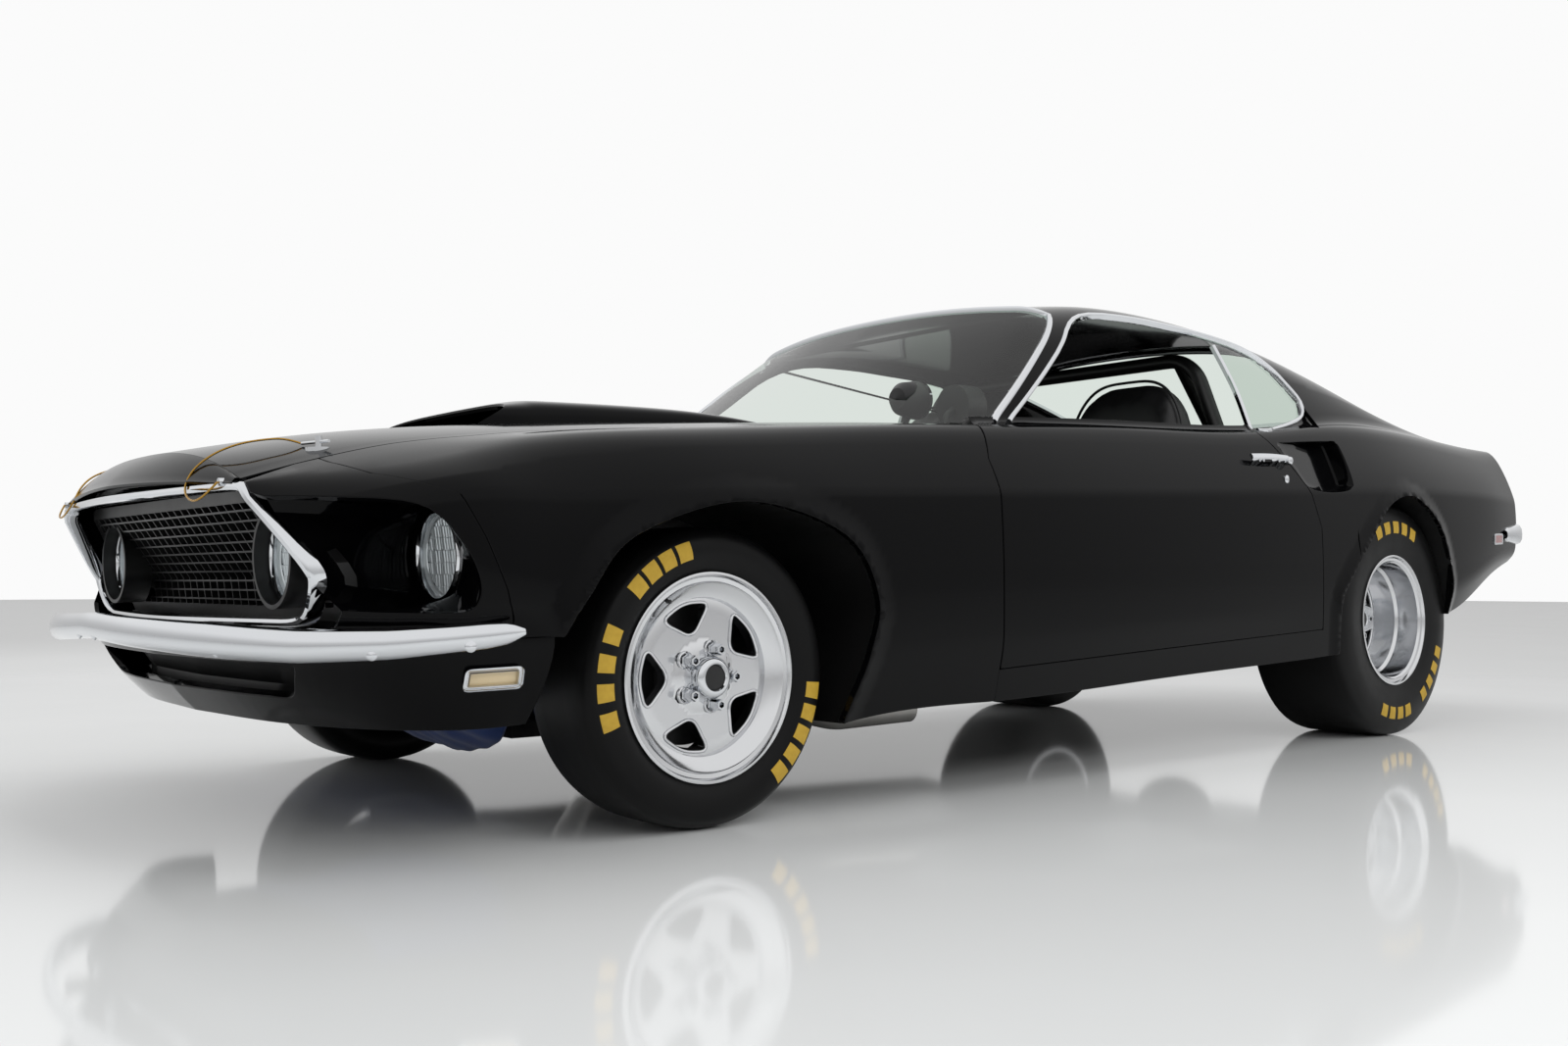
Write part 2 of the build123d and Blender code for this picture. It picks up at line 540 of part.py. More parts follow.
# Lanyard from the end of the hairpin clip, over the hood's front edge and back to its eyelet.
LANYARD = ((PIN_X + 13.5, PIN_Y - 46.9, clip_z), (2112, 435, 778), (2150, 420, 776), (2195, 415, 767),
           (2234, 403, 750), (2262, 381, 724), (2276, 374, 696), (2284, 396, 674), (2286, 438, 660),
           (2283, 475, 664), (2272, 497, 680), (EYELET[0] + SEAT_GAP + EYELET_T + 1, EYELET[1], EYELET[2]))
lanyard_left = cord(LANYARD, CORD_R)
lanyard_right = mirrored(lanyard_left)

# ---- cabin --------------------------------------------------------------------------------------------
SEAT_Y = 402.0
SEAT_X = -330.0
CAGE_R = 22.0
seat_base = Pos(SEAT_X, SEAT_Y, FLOOR_TOP_Z + 150) * Box(520, 464, 150)
seat_base = fillet(seat_base.edges(), 40)
back_outline = [(SEAT_X - 170, 330), (SEAT_X - 40, 330), (SEAT_X - 190, 830), (SEAT_X - 215, 1010),
                (SEAT_X - 295, 1010), (SEAT_X - 300, 830)]
seat_back = side_prism(back_outline, SEAT_Y - 232, SEAT_Y + 232)
seat_back = fillet(seat_back.edges().filter_by(Axis.Y), 24)
feet = block(SEAT_X - 180, SEAT_X + 180, SEAT_Y - 170, SEAT_Y + 170, FLOOR_TOP_Z, FLOOR_TOP_Z + 90)
seat = seat_base + seat_back + feet
seats = Compound(children=[seat, mirrored(seat)])

FIREWALL_X = 572.0
FIREWALL_FRONT_X = 596.0
dash_top = [(COWL_REAR_X - SEAT_GAP, COWL_UNDER_Z - SEAT_GAP), (COWL_REAR_X - SEAT_GAP, 828), (480, 834)]
dash_outline = [(FIREWALL_X - SEAT_GAP, 640), (FIREWALL_X - SEAT_GAP, COWL_UNDER_Z - SEAT_GAP)] + dash_top
dash_outline += [(330, 800), (320, 700), (400, 640)]
dashboard = side_prism(dash_outline, -735, 735)
tach_x, tach_y, tach_z = 330, 560, 905
tach = Pos(tach_x, tach_y - 60, tach_z) * Rot(0, 90, 0) * Cylinder(58, 70)
tach_neck = bar([(400, 500, 800), (390, 500, 880), (350, 500, 905)], 9, 20)
dashboard = dashboard + tach + tach_neck

WHEEL_TILT = 22.0
STEER_C = (60, SEAT_Y, 700)
COLUMN_L = 640.0
STEER_R = 178.0
steer_ring = revolve(Plane.XZ * Pos(STEER_R, 0) * RegularPolygon(14, 10), Axis.Z)
steer_hub = Cylinder(38, 24)
spokes = [Rot(0, 0, angle) * Pos(STEER_R * 0.56, 0, 0) * Box(160, 30, 8) for angle in (0, 120, 240)]
column_rod = Pos(0, 0, COLUMN_L / 2) * Cylinder(26, COLUMN_L)
steering_wheel = steer_ring + steer_hub + column_rod
for spoke in spokes:
    steering_wheel += spoke
steering_wheel = Pos(*STEER_C) * Rot(0, 90 + WHEEL_TILT, 0) * steering_wheel
steering_wheel -= block(FIREWALL_X - SEAT_GAP, 900, 0, 900, 100, 900)
steering_wheel = largest(steering_wheel - dashboard)

HOOP_X = -700.0
HOOP_FOOT_Y = 680.0
HOOP_TOP_Y = 530.0
HOOP_TOP_Z = 1096.0
hoop_points = [(HOOP_X, HOOP_FOOT_Y, FLOOR_TOP_Z + 0.3), (HOOP_X, HOOP_FOOT_Y - 10, 700),
               (HOOP_X, HOOP_TOP_Y, HOOP_TOP_Z), (HOOP_X, -HOOP_TOP_Y, HOOP_TOP_Z),
               (HOOP_X, -HOOP_FOOT_Y + 10, 700), (HOOP_X, -HOOP_FOOT_Y, FLOOR_TOP_Z + 0.3)]
roll_cage = bar(hoop_points, CAGE_R, 120)
roll_cage += bar([(HOOP_X, -HOOP_FOOT_Y + 60, 420), (HOOP_X, HOOP_TOP_Y - 30, 1030)], CAGE_R, 0)
roll_cage += bar([(HOOP_X, HOOP_FOOT_Y - 60, 420), (HOOP_X, -HOOP_TOP_Y + 30, 1030)], CAGE_R, 0)
for side in (1, -1):
    brace = [(HOOP_X, side * (HOOP_TOP_Y - 50), HOOP_TOP_Z), (-1330, side * 400, AXLE_HUMP_Z + 24)]
    roll_cage += bar(brace, CAGE_R, 0)
    roll_cage += bar([(HOOP_X, side * (HOOP_FOOT_Y - 20), 560), (380, side * 700, FLOOR_TOP_Z + 30)],
                     CAGE_R, 0)
roll_cage = largest(roll_cage - block(-2000, 800, -760, 760, 100, FLOOR_TOP_Z + SEAT_GAP))

# ---- floor, bulkheads and inner aprons --------------------------------------------------------------
TRUNK_FLOOR_Z = 470.0
floor_line = [(FIREWALL_FRONT_X, 215), (FIREWALL_FRONT_X, COWL_UNDER_Z), (FIREWALL_X, COWL_UNDER_Z),
              (FIREWALL_X, FLOOR_TOP_Z), (-860, FLOOR_TOP_Z), (-1000, AXLE_HUMP_Z),
              (-1660, AXLE_HUMP_Z), (-1760, TRUNK_FLOOR_Z), (-2268, TRUNK_FLOOR_Z),
              (-2268, TRUNK_FLOOR_Z - 30), (-1740, TRUNK_FLOOR_Z - 30),
              (-1640, AXLE_HUMP_Z - 25), (-1015, AXLE_HUMP_Z - 25), (-880, 215)]
floor_pan = side_prism(floor_line, -738, 738) & cabin_prism(PANEL_GAP + 1, 100, 1000)
tub_out = cross_cylinder(REAR_HUB_B[0], REAR_HUB_B[1], REAR_TYRE_R + 54, 454, 712)
tub_in = cross_cylinder(REAR_HUB_B[0], REAR_HUB_B[1], REAR_TYRE_R + 30, 478, 900)
for tub, hole in ((tub_out, tub_in), (mirrored(tub_out), mirrored(tub_in))):
    floor_pan = floor_pan + (tub & cabin_prism(0.3, 380, 1000)) - hole
for side in (1, -1):
    floor_pan += block(FIREWALL_X + 2, 592, side * 700, side * (CABIN_HALF - SEAT_GAP), 330, 700)
floor_pan += block(-970, 590, -150, 150, 215, 420)
floor_pan = largest(floor_pan - block(-1010, 620, -126, 126, 200, 396))

# Front frame: rails and inner aprons, tied by the radiator support, with bumper arms and hood stops.
FRAME_REAR_X = FIREWALL_FRONT_X + SEAT_GAP
SUPPORT_X = 2016.0
SUPPORT_T = 14.0
SUPPORT_END_X = SUPPORT_X + SUPPORT_T
APRON_Y = 424.0
APRON_T = 18.0
RAIL_W = 46.0
RAIL_LOW_Z = 270.0
apron_line = [(FRAME_REAR_X, 330), (FRAME_REAR_X, 760), (SUPPORT_END_X, 690), (SUPPORT_END_X, 440),
              (1900, 330)]
apron = side_prism(apron_line, APRON_Y, APRON_Y + APRON_T)
rail_end_y = APRON_Y + APRON_T + 4
rail = block(FRAME_REAR_X, SUPPORT_END_X, rail_end_y - RAIL_W, rail_end_y, RAIL_LOW_Z, RAIL_LOW_Z + 80)
side_frame = apron + rail - block(1240, 1640, 380, 480, 372, 470)
front_frame = side_frame + mirrored(side_frame)
front_frame += block(SUPPORT_X, SUPPORT_END_X, -APRON_Y - APRON_T, APRON_Y + APRON_T, 300, 660)
for side in (1, -1):
    hood_stop = Pos(SUPPORT_X + SUPPORT_T / 2, side * 380, 740) * Cylinder(12, 200)
    bracket = block(SUPPORT_X, FRONT_BUMPER[0][0], side * BRACKET_Y - BRACKET_W / 2,
                    side * BRACKET_Y + BRACKET_W / 2, 408, 432)
    front_frame += largest(hood_stop - Pos(0, 0, -SEAT_GAP) * hood_panel - hood_panel)
    front_frame += largest(bracket - Pos(-SEAT_GAP, 0, 0) * front_bumper - front_bumper)

ENGINE_HALF = 210.0
engine_block = block(960, 1560, -ENGINE_HALF, ENGINE_HALF, 250, 760)
driveline = bar([(-1171.8, 0, 268), (860, 0, 320)], 36, 0) + block(600, 960, -116, 116, 225, 390)

# ---- under the body: exhaust, fuel tank and the cloth slung under the engine ------------------------
PIPE_R = 38.0
pipe = bar([(1185, ENGINE_HALF - 20, 430), (1130, 300, 330), (1000, 400, 200), (860, 545, 152),
            (640, 575, 152)], PIPE_R, 60)
pipe -= bar([(760, 560, 152), (600, 580, 152)], PIPE_R - 3, 0)
pipe -= block(960, 1560, 0, ENGINE_HALF + SEAT_GAP, 250, 760)
exhaust_pipes = Compound(children=[pipe, mirrored(pipe)])

TANK_TOP_Z = TRUNK_FLOOR_Z - 30 - SEAT_GAP
tank_line = [(-2225, TANK_TOP_Z), (-1800, TANK_TOP_Z), (-1780, 360), (-1840, 285), (-2170, 285), (-2225, 350)]
fuel_tank = side_prism(tank_line, -360, 360)

CLOTH_T = 6.0
cloth_line = [(422, RAIL_LOW_Z - SEAT_GAP), (400, 180), (300, 128), (0, 122)]
cloth_out = cloth_line + [(-y, z) for y, z in reversed(cloth_line[:-1])]
cloth_in = [(y - math.copysign(CLOTH_T, y) * (y != 0), z + CLOTH_T * (z < 200)) for y, z in cloth_out]
oil_diaper = front_prism(cloth_out + cloth_in[::-1], 1640, 1935)

MARKER_W = 92.0
MARKER_H = 34.0
MARKER_T = 8.0
REAR_MARKER = (-2105, 505)
FRONT_MARKER = (1916, 340)


def marker(x, z, surface, reach):
    """Side marker lamp seated on the surface, as a block that follows it."""
    pad = side_prism([(x - MARKER_W / 2, z - MARKER_H / 2), (x + MARKER_W / 2, z - MARKER_H / 2),
                      (x + MARKER_W / 2, z + MARKER_H / 2), (x - MARKER_W / 2, z + MARKER_H / 2)], 700, 900)
    return largest((Pos(0, MARKER_T + SEAT_GAP, 0) * surface & pad) - Pos(0, SEAT_GAP, 0) * reach)


rear_marker = marker(*REAR_MARKER, lower_solid, lower_solid)
front_marker = marker(*FRONT_MARKER, valance_out, valance_out)
front_markers = Compound(children=[front_marker, mirrored(front_marker)])
rear_markers = Compound(children=[rear_marker, mirrored(rear_marker)])

sprung["hood_panel"] = hood_panel
sprung["fender_left"] = fender
sprung["fender_right"] = mirrored(fender)
sprung["door_left"] = door_left
sprung["door_right"] = mirrored(door_left)
sprung["body_side_left"] = body_side_left
sprung["body_side_right"] = mirrored(body_side_left)
sprung["cowl_panel"] = cowl
sprung["roof_panel"] = roof_panel
sprung["windshield"] = windshield
sprung["rear_window"] = rear_window
sprung["quarter_windows"] = quarter_windows
sprung["trunk_lid"] = trunk_lid
sprung["tail_panel"] = tail_panel
sprung["headlamp_extension_left"] = extension_left
sprung["headlamp_extension_right"] = mirrored(extension_left)
sprung["grille_surround"] = surround
sprung["grille_mesh"] = grille
sprung["headlamps"] = headlamps
sprung["front_valance"] = valance
sprung["front_bumper"] = front_bumper
sprung["rear_bumper"] = rear_bumper

sprung["tail_lamps"] = tail_lamps
sprung["hood_scoop"] = hood_scoop
sprung["hood_pins"] = hood_pins
sprung["seats"] = seats
sprung["dashboard"] = dashboard
sprung["steering_wheel"] = steering_wheel
sprung["roll_cage"] = roll_cage
sprung["floor_pan"] = floor_pan
sprung["front_frame"] = front_frame
sprung["engine_block"] = engine_block
sprung["driveline"] = driveline
sprung["lanyard_left"] = lanyard_left
sprung["lanyard_right"] = lanyard_right
sprung["exhaust_pipes"] = exhaust_pipes
sprung["fuel_tank"] = fuel_tank
sprung["oil_diaper"] = oil_diaper
sprung["front_markers"] = front_markers
sprung["rear_markers"] = rear_markers

# ---- wheels, tyres, knuckles and axles (on the floor, not raked) -------------------------------------


def turned(profile, x, z):
    """Revolve a (y, r) profile about the axle line through (x, z)."""
    face = make_face(Polyline(*[(y, r, 0) for y, r in profile], close=True))
    ring = revolve(face, Axis.X)
    return Pos(x, 0, z) * Rot(0, 0, 90) * ring


def tyre(x, radius, mid_y, width, lip_y):
    """Tyre as a turned ring: bead seats, bulged walls, bevelled shoulders and a flat tread."""
    half = width / 2
    bead = lip_y - RIM_WALL - 0.5 - mid_y
    wall_r = (RIM_SEAT_R + radius) / 2
    left = [(bead, RIM_SEAT_R + 0.2), (bead, RIM_R + 1.0), (half, wall_r), (half - 7, radius - 24),
            (half - 26, radius)]
    ring = [(mid_y + y, r) for y, r in left] + [(mid_y - y, r) for y, r in reversed(left)]
    return turned(ring, x, radius)


def wheel(x, hub_z, mid_y, lip_y, dish):
    """Polished wheel: stepped barrel, two lips, spoked centre with windows, hub and cap."""
    back_y = 2 * mid_y - lip_y
    face_y = lip_y - dish
    inner_r = RIM_SEAT_R - RIM_WALL
    barrel = [(back_y, RIM_R), (back_y, inner_r), (lip_y, inner_r), (lip_y, RIM_R),
              (lip_y - RIM_WALL, RIM_R), (lip_y - RIM_WALL, RIM_SEAT_R), (back_y + RIM_WALL, RIM_SEAT_R),
              (back_y + RIM_WALL, RIM_R)]
    centre = [(face_y - HUB_FACE_T, 0), (face_y - HUB_FACE_T, inner_r + 2), (face_y - 4, inner_r + 2),
              (face_y - 10, 120), (face_y, 76), (face_y + 10, 50), (face_y + 24, 38), (face_y + 24, 0)]
    disc = turned(centre, x, hub_z)
    window = Polyline((78, -15), (96, -30), (150, -56), (168, -40), (172, 0), (168, 40), (150, 56),
                      (96, 30), (78, 15), close=True)
    cutter = extrude(make_face(window), amount=90)
    cutter = Pos(0, 0, -60) * cutter
    for k in range(WHEEL_WINDOWS):
        turn = Rot(0, 0, 90 + k * 360 / WHEEL_WINDOWS)
        disc -= Pos(x, face_y, hub_z) * Rot(-90, 0, 0) * turn * cutter
    return turned(barrel, x, hub_z) + disc


FRONT_FACE_Y = FRONT_LIP_Y - FRONT_DISH
REAR_FACE_Y = REAR_LIP_Y - REAR_DISH
DISC_Y = 690.0
unsprung = {}
front_wheel = wheel(FRONT_AXLE_X, FRONT_TYRE_R, FRONT_TYRE_MID_Y, FRONT_LIP_Y, FRONT_DISH)
front_wheel += turned([(DISC_Y, 0), (DISC_Y, DISC_R), (DISC_Y + DISC_T, DISC_R), (DISC_Y + DISC_T, 62),
                       (FRONT_FACE_Y - 20, 62), (FRONT_FACE_Y - 20, 0)], FRONT_AXLE_X, FRONT_TYRE_R)
rear_wheel = wheel(REAR_AXLE_X, REAR_TYRE_R, REAR_TYRE_MID_Y, REAR_LIP_Y, REAR_DISH)
rear_wheel += turned([(590, 0), (590, 128), (650, 128), (650, 70), (REAR_FACE_Y - 20, 70),
                      (REAR_FACE_Y - 20, 0)], REAR_AXLE_X, REAR_TYRE_R)
front_tyre = tyre(FRONT_AXLE_X, FRONT_TYRE_R, FRONT_TYRE_MID_Y, FRONT_TYRE_W, FRONT_LIP_Y)
rear_tyre = tyre(REAR_AXLE_X, REAR_TYRE_R, REAR_TYRE_MID_Y, REAR_TYRE_W, REAR_LIP_Y)

RUN_GAP = 0.3
KNUCKLE_Y = 655.0
BALL_LOW_Z = 190.0
BALL_HIGH_Z = 420.0
kingpin = Cylinder(17, BALL_HIGH_Z - BALL_LOW_Z)
knuckle = Pos(FRONT_AXLE_X, KNUCKLE_Y, (BALL_LOW_Z + BALL_HIGH_Z) / 2) * kingpin
knuckle += cross_cylinder(FRONT_AXLE_X, FRONT_TYRE_R, 34, KNUCKLE_Y - 20, DISC_Y - RUN_GAP)
knuckle += block(FRONT_AXLE_X - 150, FRONT_AXLE_X - 20, KNUCKLE_Y - 12, KNUCKLE_Y + 12, 270, 300)
caliper = block(FRONT_AXLE_X + 92, FRONT_AXLE_X + 142, KNUCKLE_Y - 12, DISC_Y - 2, 250, 350)
knuckle += caliper + block(FRONT_AXLE_X, FRONT_AXLE_X + 100, KNUCKLE_Y - 12, KNUCKLE_Y + 12, 285, 315)

arm_low = plan_prism([(FRONT_AXLE_X - 30, 672), (FRONT_AXLE_X + 30, 672), (FRONT_AXLE_X + 150, 300),
                      (FRONT_AXLE_X - 150, 300)], BALL_LOW_Z - RUN_GAP - 22, BALL_LOW_Z - RUN_GAP)
arm_high = plan_prism([(FRONT_AXLE_X - 24, 670), (FRONT_AXLE_X + 24, 670), (FRONT_AXLE_X + 120, 448),
                       (FRONT_AXLE_X - 120, 448)], BALL_HIGH_Z + RUN_GAP, BALL_HIGH_Z + RUN_GAP + 18)
crossmember = block(FRONT_AXLE_X - 170, FRONT_AXLE_X + 170, -330, 330, 150, 228)
front_suspension = crossmember + arm_low + mirrored(arm_low)
tower = block(FRONT_AXLE_X - 130, FRONT_AXLE_X + 130, 250, 330, 200, 460)
tower += block(FRONT_AXLE_X - 130, FRONT_AXLE_X + 130, 250, 450, BALL_HIGH_Z + RUN_GAP, BALL_HIGH_Z + 20)
front_suspension += tower + mirrored(tower) + arm_high + mirrored(arm_high)
for side in (1, -1):
    saddle = block(FRONT_AXLE_X - 70, FRONT_AXLE_X + 70, side * 290, side * 446, 205, 270 - SEAT_GAP)
    engine_foot = block(FRONT_AXLE_X - 50, FRONT_AXLE_X + 50, side * 110, side * 190, 200, 250 - SEAT_GAP)
    front_suspension += on_body(saddle) + on_body(engine_foot)

axle = cross_cylinder(REAR_AXLE_X, REAR_TYRE_R, 42, -590 + RUN_GAP, 590 - RUN_GAP)
axle += Pos(REAR_AXLE_X, 0, REAR_TYRE_R) * Sphere(150)
spring_line = [(REAR_AXLE_X + 460, 270), (REAR_AXLE_X, 296), (REAR_AXLE_X - 640, 420),
               (REAR_AXLE_X - 640, 444), (REAR_AXLE_X, 320), (REAR_AXLE_X + 460, 294)]
for side in (1, -1):
    mid = side * 420
    axle += side_prism(spring_line, mid - 32, mid + 32)
    axle += block(REAR_AXLE_X - 60, REAR_AXLE_X + 60, mid - 40, mid + 40, 300, 372)
    front_eye = block(-872, -846, mid - 32, mid + 32, 190, FLOOR_TOP_Z - FLOOR_T - SEAT_GAP)
    shackle = block(-1976, -1950, mid - 32, mid + 32, 300, TRUNK_FLOOR_Z - FLOOR_T - 5 - SEAT_GAP)
    axle += on_body(front_eye) + on_body(shackle)

unsprung["wheel_front_left"] = front_wheel
unsprung["wheel_front_right"] = mirrored(front_wheel)
unsprung["wheel_rear_left"] = rear_wheel
unsprung["wheel_rear_right"] = mirrored(rear_wheel)
unsprung["tyre_front_left"] = front_tyre
unsprung["tyre_front_right"] = mirrored(front_tyre)
unsprung["tyre_rear_left"] = rear_tyre
unsprung["tyre_rear_right"] = mirrored(rear_tyre)
unsprung["knuckle_left"] = knuckle
unsprung["knuckle_right"] = mirrored(knuckle)
unsprung["front_suspension"] = front_suspension
unsprung["rear_axle"] = axle


for name, piece in list(sprung.items()):
    sprung[name] = on_body(piece)
for mid_y in (-PLATE_HOLE_SPACING / 2, PLATE_HOLE_SPACING / 2):
    drill = Pos(TAIL_FACE_X, mid_y, PLATE_HOLE_Z) * Rot(0, 90, 0) * Cylinder(PLATE_HOLE_R, 400)
    sprung["tail_panel"] -= drill
everything = {**sprung, **unsprung}
for name, piece in everything.items():
    b = piece.bounding_box()
    print(name, round(piece.volume / 1e6, 1), len(piece.solids()), b.min, b.max)
    export_step(piece, f"parts/{name}.step")
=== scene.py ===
"""Looks of a black fastback muscle car set up for the drag strip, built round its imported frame.

Every sub-assembly is a class that holds its sizes in millimetres, in the level body frame (+X
forward, +Y left, +Z up) unless it says otherwise, and builds and dresses its own meshes.  The body
stands nose down by the rake, so level points go through `raked` on their way to the car.
"""

import json
import logging
import math
from dataclasses import dataclass, field
from enum import Enum
from typing import Callable, Iterable, Optional, Sequence

import bpy
import numpy as np
from mathutils import Euler, Matrix, Vector
from mathutils.geometry import delaunay_2d_cdt

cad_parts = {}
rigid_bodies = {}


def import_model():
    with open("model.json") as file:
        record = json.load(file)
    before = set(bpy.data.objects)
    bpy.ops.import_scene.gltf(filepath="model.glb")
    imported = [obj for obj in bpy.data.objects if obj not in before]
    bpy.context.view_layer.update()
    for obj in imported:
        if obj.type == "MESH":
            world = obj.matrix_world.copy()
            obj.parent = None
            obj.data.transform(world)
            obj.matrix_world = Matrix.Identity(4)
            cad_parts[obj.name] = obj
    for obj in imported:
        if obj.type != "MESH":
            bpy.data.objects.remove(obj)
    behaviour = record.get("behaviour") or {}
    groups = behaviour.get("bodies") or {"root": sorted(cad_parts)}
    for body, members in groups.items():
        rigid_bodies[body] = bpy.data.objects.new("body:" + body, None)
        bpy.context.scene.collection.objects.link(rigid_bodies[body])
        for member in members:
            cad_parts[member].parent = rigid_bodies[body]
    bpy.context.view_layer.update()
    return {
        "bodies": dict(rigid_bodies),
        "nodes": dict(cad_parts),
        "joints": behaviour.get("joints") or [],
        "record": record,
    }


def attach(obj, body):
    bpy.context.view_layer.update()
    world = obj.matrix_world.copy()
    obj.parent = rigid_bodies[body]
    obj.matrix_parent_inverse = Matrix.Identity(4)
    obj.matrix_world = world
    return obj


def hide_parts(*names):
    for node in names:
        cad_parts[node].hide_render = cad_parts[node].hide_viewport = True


LOG = logging.getLogger("car")
MM = 0.001
RAKE = math.radians(2.29)
FRONT_AXLE_X = 1433.6
REAR_AXLE_X = -1309.6
FRONT_HUB_Z = 298.0
REAR_HUB_Z = 370.0
Point = tuple[float, float, float]
Outline = list[tuple[float, float]]


def raked(points: np.ndarray) -> np.ndarray:
    """Sets level body points on the raked car.

    Args:
        points: Points in millimetres, one per row.

    Returns:
        The points in metres in the car's frame.
    """
    dx, z = points[:, 0] - FRONT_AXLE_X, points[:, 2]
    sin, cos = math.sin(RAKE), math.cos(RAKE)
    return np.stack([FRONT_AXLE_X + dx * cos + z * sin, points[:, 1], z * cos - dx * sin], 1) * MM


def standing(points: np.ndarray) -> np.ndarray:
    """Turns points that already stand on the floor from millimetres into metres."""
    return points * MM


# ---- finishes ----


def linear(code: str) -> tuple[float, float, float, float]:
    """Turns an sRGB hex colour into linear values.

    Args:
        code: Six hex digits.

    Returns:
        Red, green, blue and alpha in linear light.
    """
    parts = [int(code[i:i + 2], 16) / 255 for i in (0, 2, 4)]
    lin = [c / 12.92 if c <= 0.04045 else ((c + 0.055) / 1.055) ** 2.4 for c in parts]
    return lin[0], lin[1], lin[2], 1.0


def add_node(tree: bpy.types.NodeTree, kind: str, settings: Optional[dict] = None,
             values: Optional[dict] = None, links: Optional[dict] = None) -> bpy.types.Node:
    """Adds one shader node.

    Args:
        tree: Tree that gets the node.
        kind: Blender's type name of the node.
        settings: Attributes to set on the node.
        values: Socket values by socket name or number.
        links: Output sockets to join, by the name or number of the input.

    Returns:
        The new node.
    """
    made = tree.nodes.new(kind)
    for name, value in (settings or {}).items():
        setattr(made, name, value)
    for name, value in (values or {}).items():
        made.inputs[name].default_value = value
    for name, source in (links or {}).items():
        tree.links.new(source, made.inputs[name])
    return made


def placed(name: str, data: bpy.types.ID) -> bpy.types.Object:
    """Makes an object of a mesh, curve, lamp or camera and puts it in the scene."""
    made = bpy.data.objects.new(name, data)
    bpy.context.scene.collection.objects.link(made)
    return made


@dataclass(frozen=True)
class Finish:
    """A surface finish: base values of the shader and a fine grain in bump and gloss.

    Attributes:
        name: Material name, in a maker's words.
        slot: Material slot of the record that it belongs to; not used.
        colour: sRGB hex colour.
        tint: Second colour of the slow variation over the surface.
        metallic: 1 for bare metal.
        roughness: Mean roughness of the surface.
        rough_swing: How far the roughness varies to either side.
        coat: Weight of a clear coat.
        grain_mm: Size of the grain that the bump draws.
        bump: Depth of the grain as a share of its size.
        blotch_mm: Size of the slow variation.
        specular: Specular level.
        alpha: Opacity of the surface.
        sheen: Weight of a cloth's sheen.
    """

    name: str
    slot: str
    colour: str
    tint: str = ""
    metallic: float = 0.0
    roughness: float = 0.4
    rough_swing: float = 0.0
    coat: float = 0.0
    grain_mm: float = 1.0
    bump: float = 0.0
    blotch_mm: float = 120.0
    specular: float = 0.5
    alpha: float = 1.0
    sheen: float = 0.0

    def coordinates(self, tree: bpy.types.NodeTree) -> bpy.types.NodeSocket:
        """Gives the texture coordinate that the grain follows."""
        return add_node(tree, "ShaderNodeTexCoord").outputs["Object"]

    def grain(self, tree: bpy.types.NodeTree, place: bpy.types.NodeSocket) -> bpy.types.NodeSocket:
        """Draws the height of the grain.

        Args:
            tree: Material's tree.
            place: Texture coordinate in metres.

        Returns:
            Height from 0 to 1.
        """
        noise = add_node(tree, "ShaderNodeTexNoise", None,
                         {"Scale": 1 / (self.grain_mm * MM), "Detail": 3.0}, {"Vector": place})
        return noise.outputs["Fac"]

    def build(self) -> bpy.types.Material:
        """Makes the material once and gives it back.

        Returns:
            The Blender material.
        """
        if self.name in bpy.data.materials:
            return bpy.data.materials[self.name]
        made = bpy.data.materials.new(self.name)
        made.use_nodes = True
        tree = made.node_tree
        shader = tree.nodes["Principled BSDF"]
        fixed = {"Base Color": linear(self.colour), "Metallic": self.metallic, "Roughness": self.roughness,
                 "Coat Weight": self.coat, "Coat Roughness": 0.03, "Alpha": self.alpha,
                 "Sheen Weight": self.sheen}
        if not self.metallic:
            fixed["Specular IOR Level"] = self.specular
        for socket, value in fixed.items():
            shader.inputs[socket].default_value = value
        place = self.coordinates(tree)
        slow = add_node(tree, "ShaderNodeTexNoise", None,
                        {"Scale": 1 / (self.blotch_mm * MM), "Detail": 4.0}, {"Vector": place})
        if self.tint:
            ramp = add_node(tree, "ShaderNodeMix", {"data_type": "RGBA"},
                            {6: linear(self.colour), 7: linear(self.tint)}, {0: slow.outputs["Fac"]})
            tree.links.new(ramp.outputs[2], shader.inputs["Base Color"])
        if self.rough_swing:
            swing = add_node(tree, "ShaderNodeMapRange",
                             values={"To Min": max(self.roughness - self.rough_swing, 0.0),
                                     "To Max": self.roughness + self.rough_swing},
                             links={"Value": slow.outputs["Fac"]})
            tree.links.new(swing.outputs["Result"], shader.inputs["Roughness"])
        if self.bump:
            height = self.grain(tree, place)
            bump = add_node(tree, "ShaderNodeBump", values={"Strength": 1.0,
                                                            "Distance": self.bump * self.grain_mm * MM},
                            links={"Height": height})
            tree.links.new(bump.outputs["Normal"], shader.inputs["Normal"])
        self.dress(tree, shader)
        return made

    def dress(self, tree: bpy.types.NodeTree, shader: bpy.types.Node) -> None:
        """Lets a special finish add to its shader."""


@dataclass(frozen=True)
class Woven(Finish):
    """Cloth whose threads cross: two wave patterns at right angles."""

    def grain(self, tree: bpy.types.NodeTree, place: bpy.types.NodeSocket) -> bpy.types.NodeSocket:
        """Draws warp and weft threads, one thread every grain_mm."""
        waves = [add_node(tree, "ShaderNodeTexWave", {"bands_direction": axis},
                          {"Scale": 0.314 / (self.grain_mm * MM)}, {"Vector": place})
                 for axis in ("X", "Y")]
        both = add_node(tree, "ShaderNodeMath", {"operation": "MULTIPLY"},
                        links={0: waves[0].outputs["Fac"], 1: waves[1].outputs["Fac"]})
        return both.outputs[0]


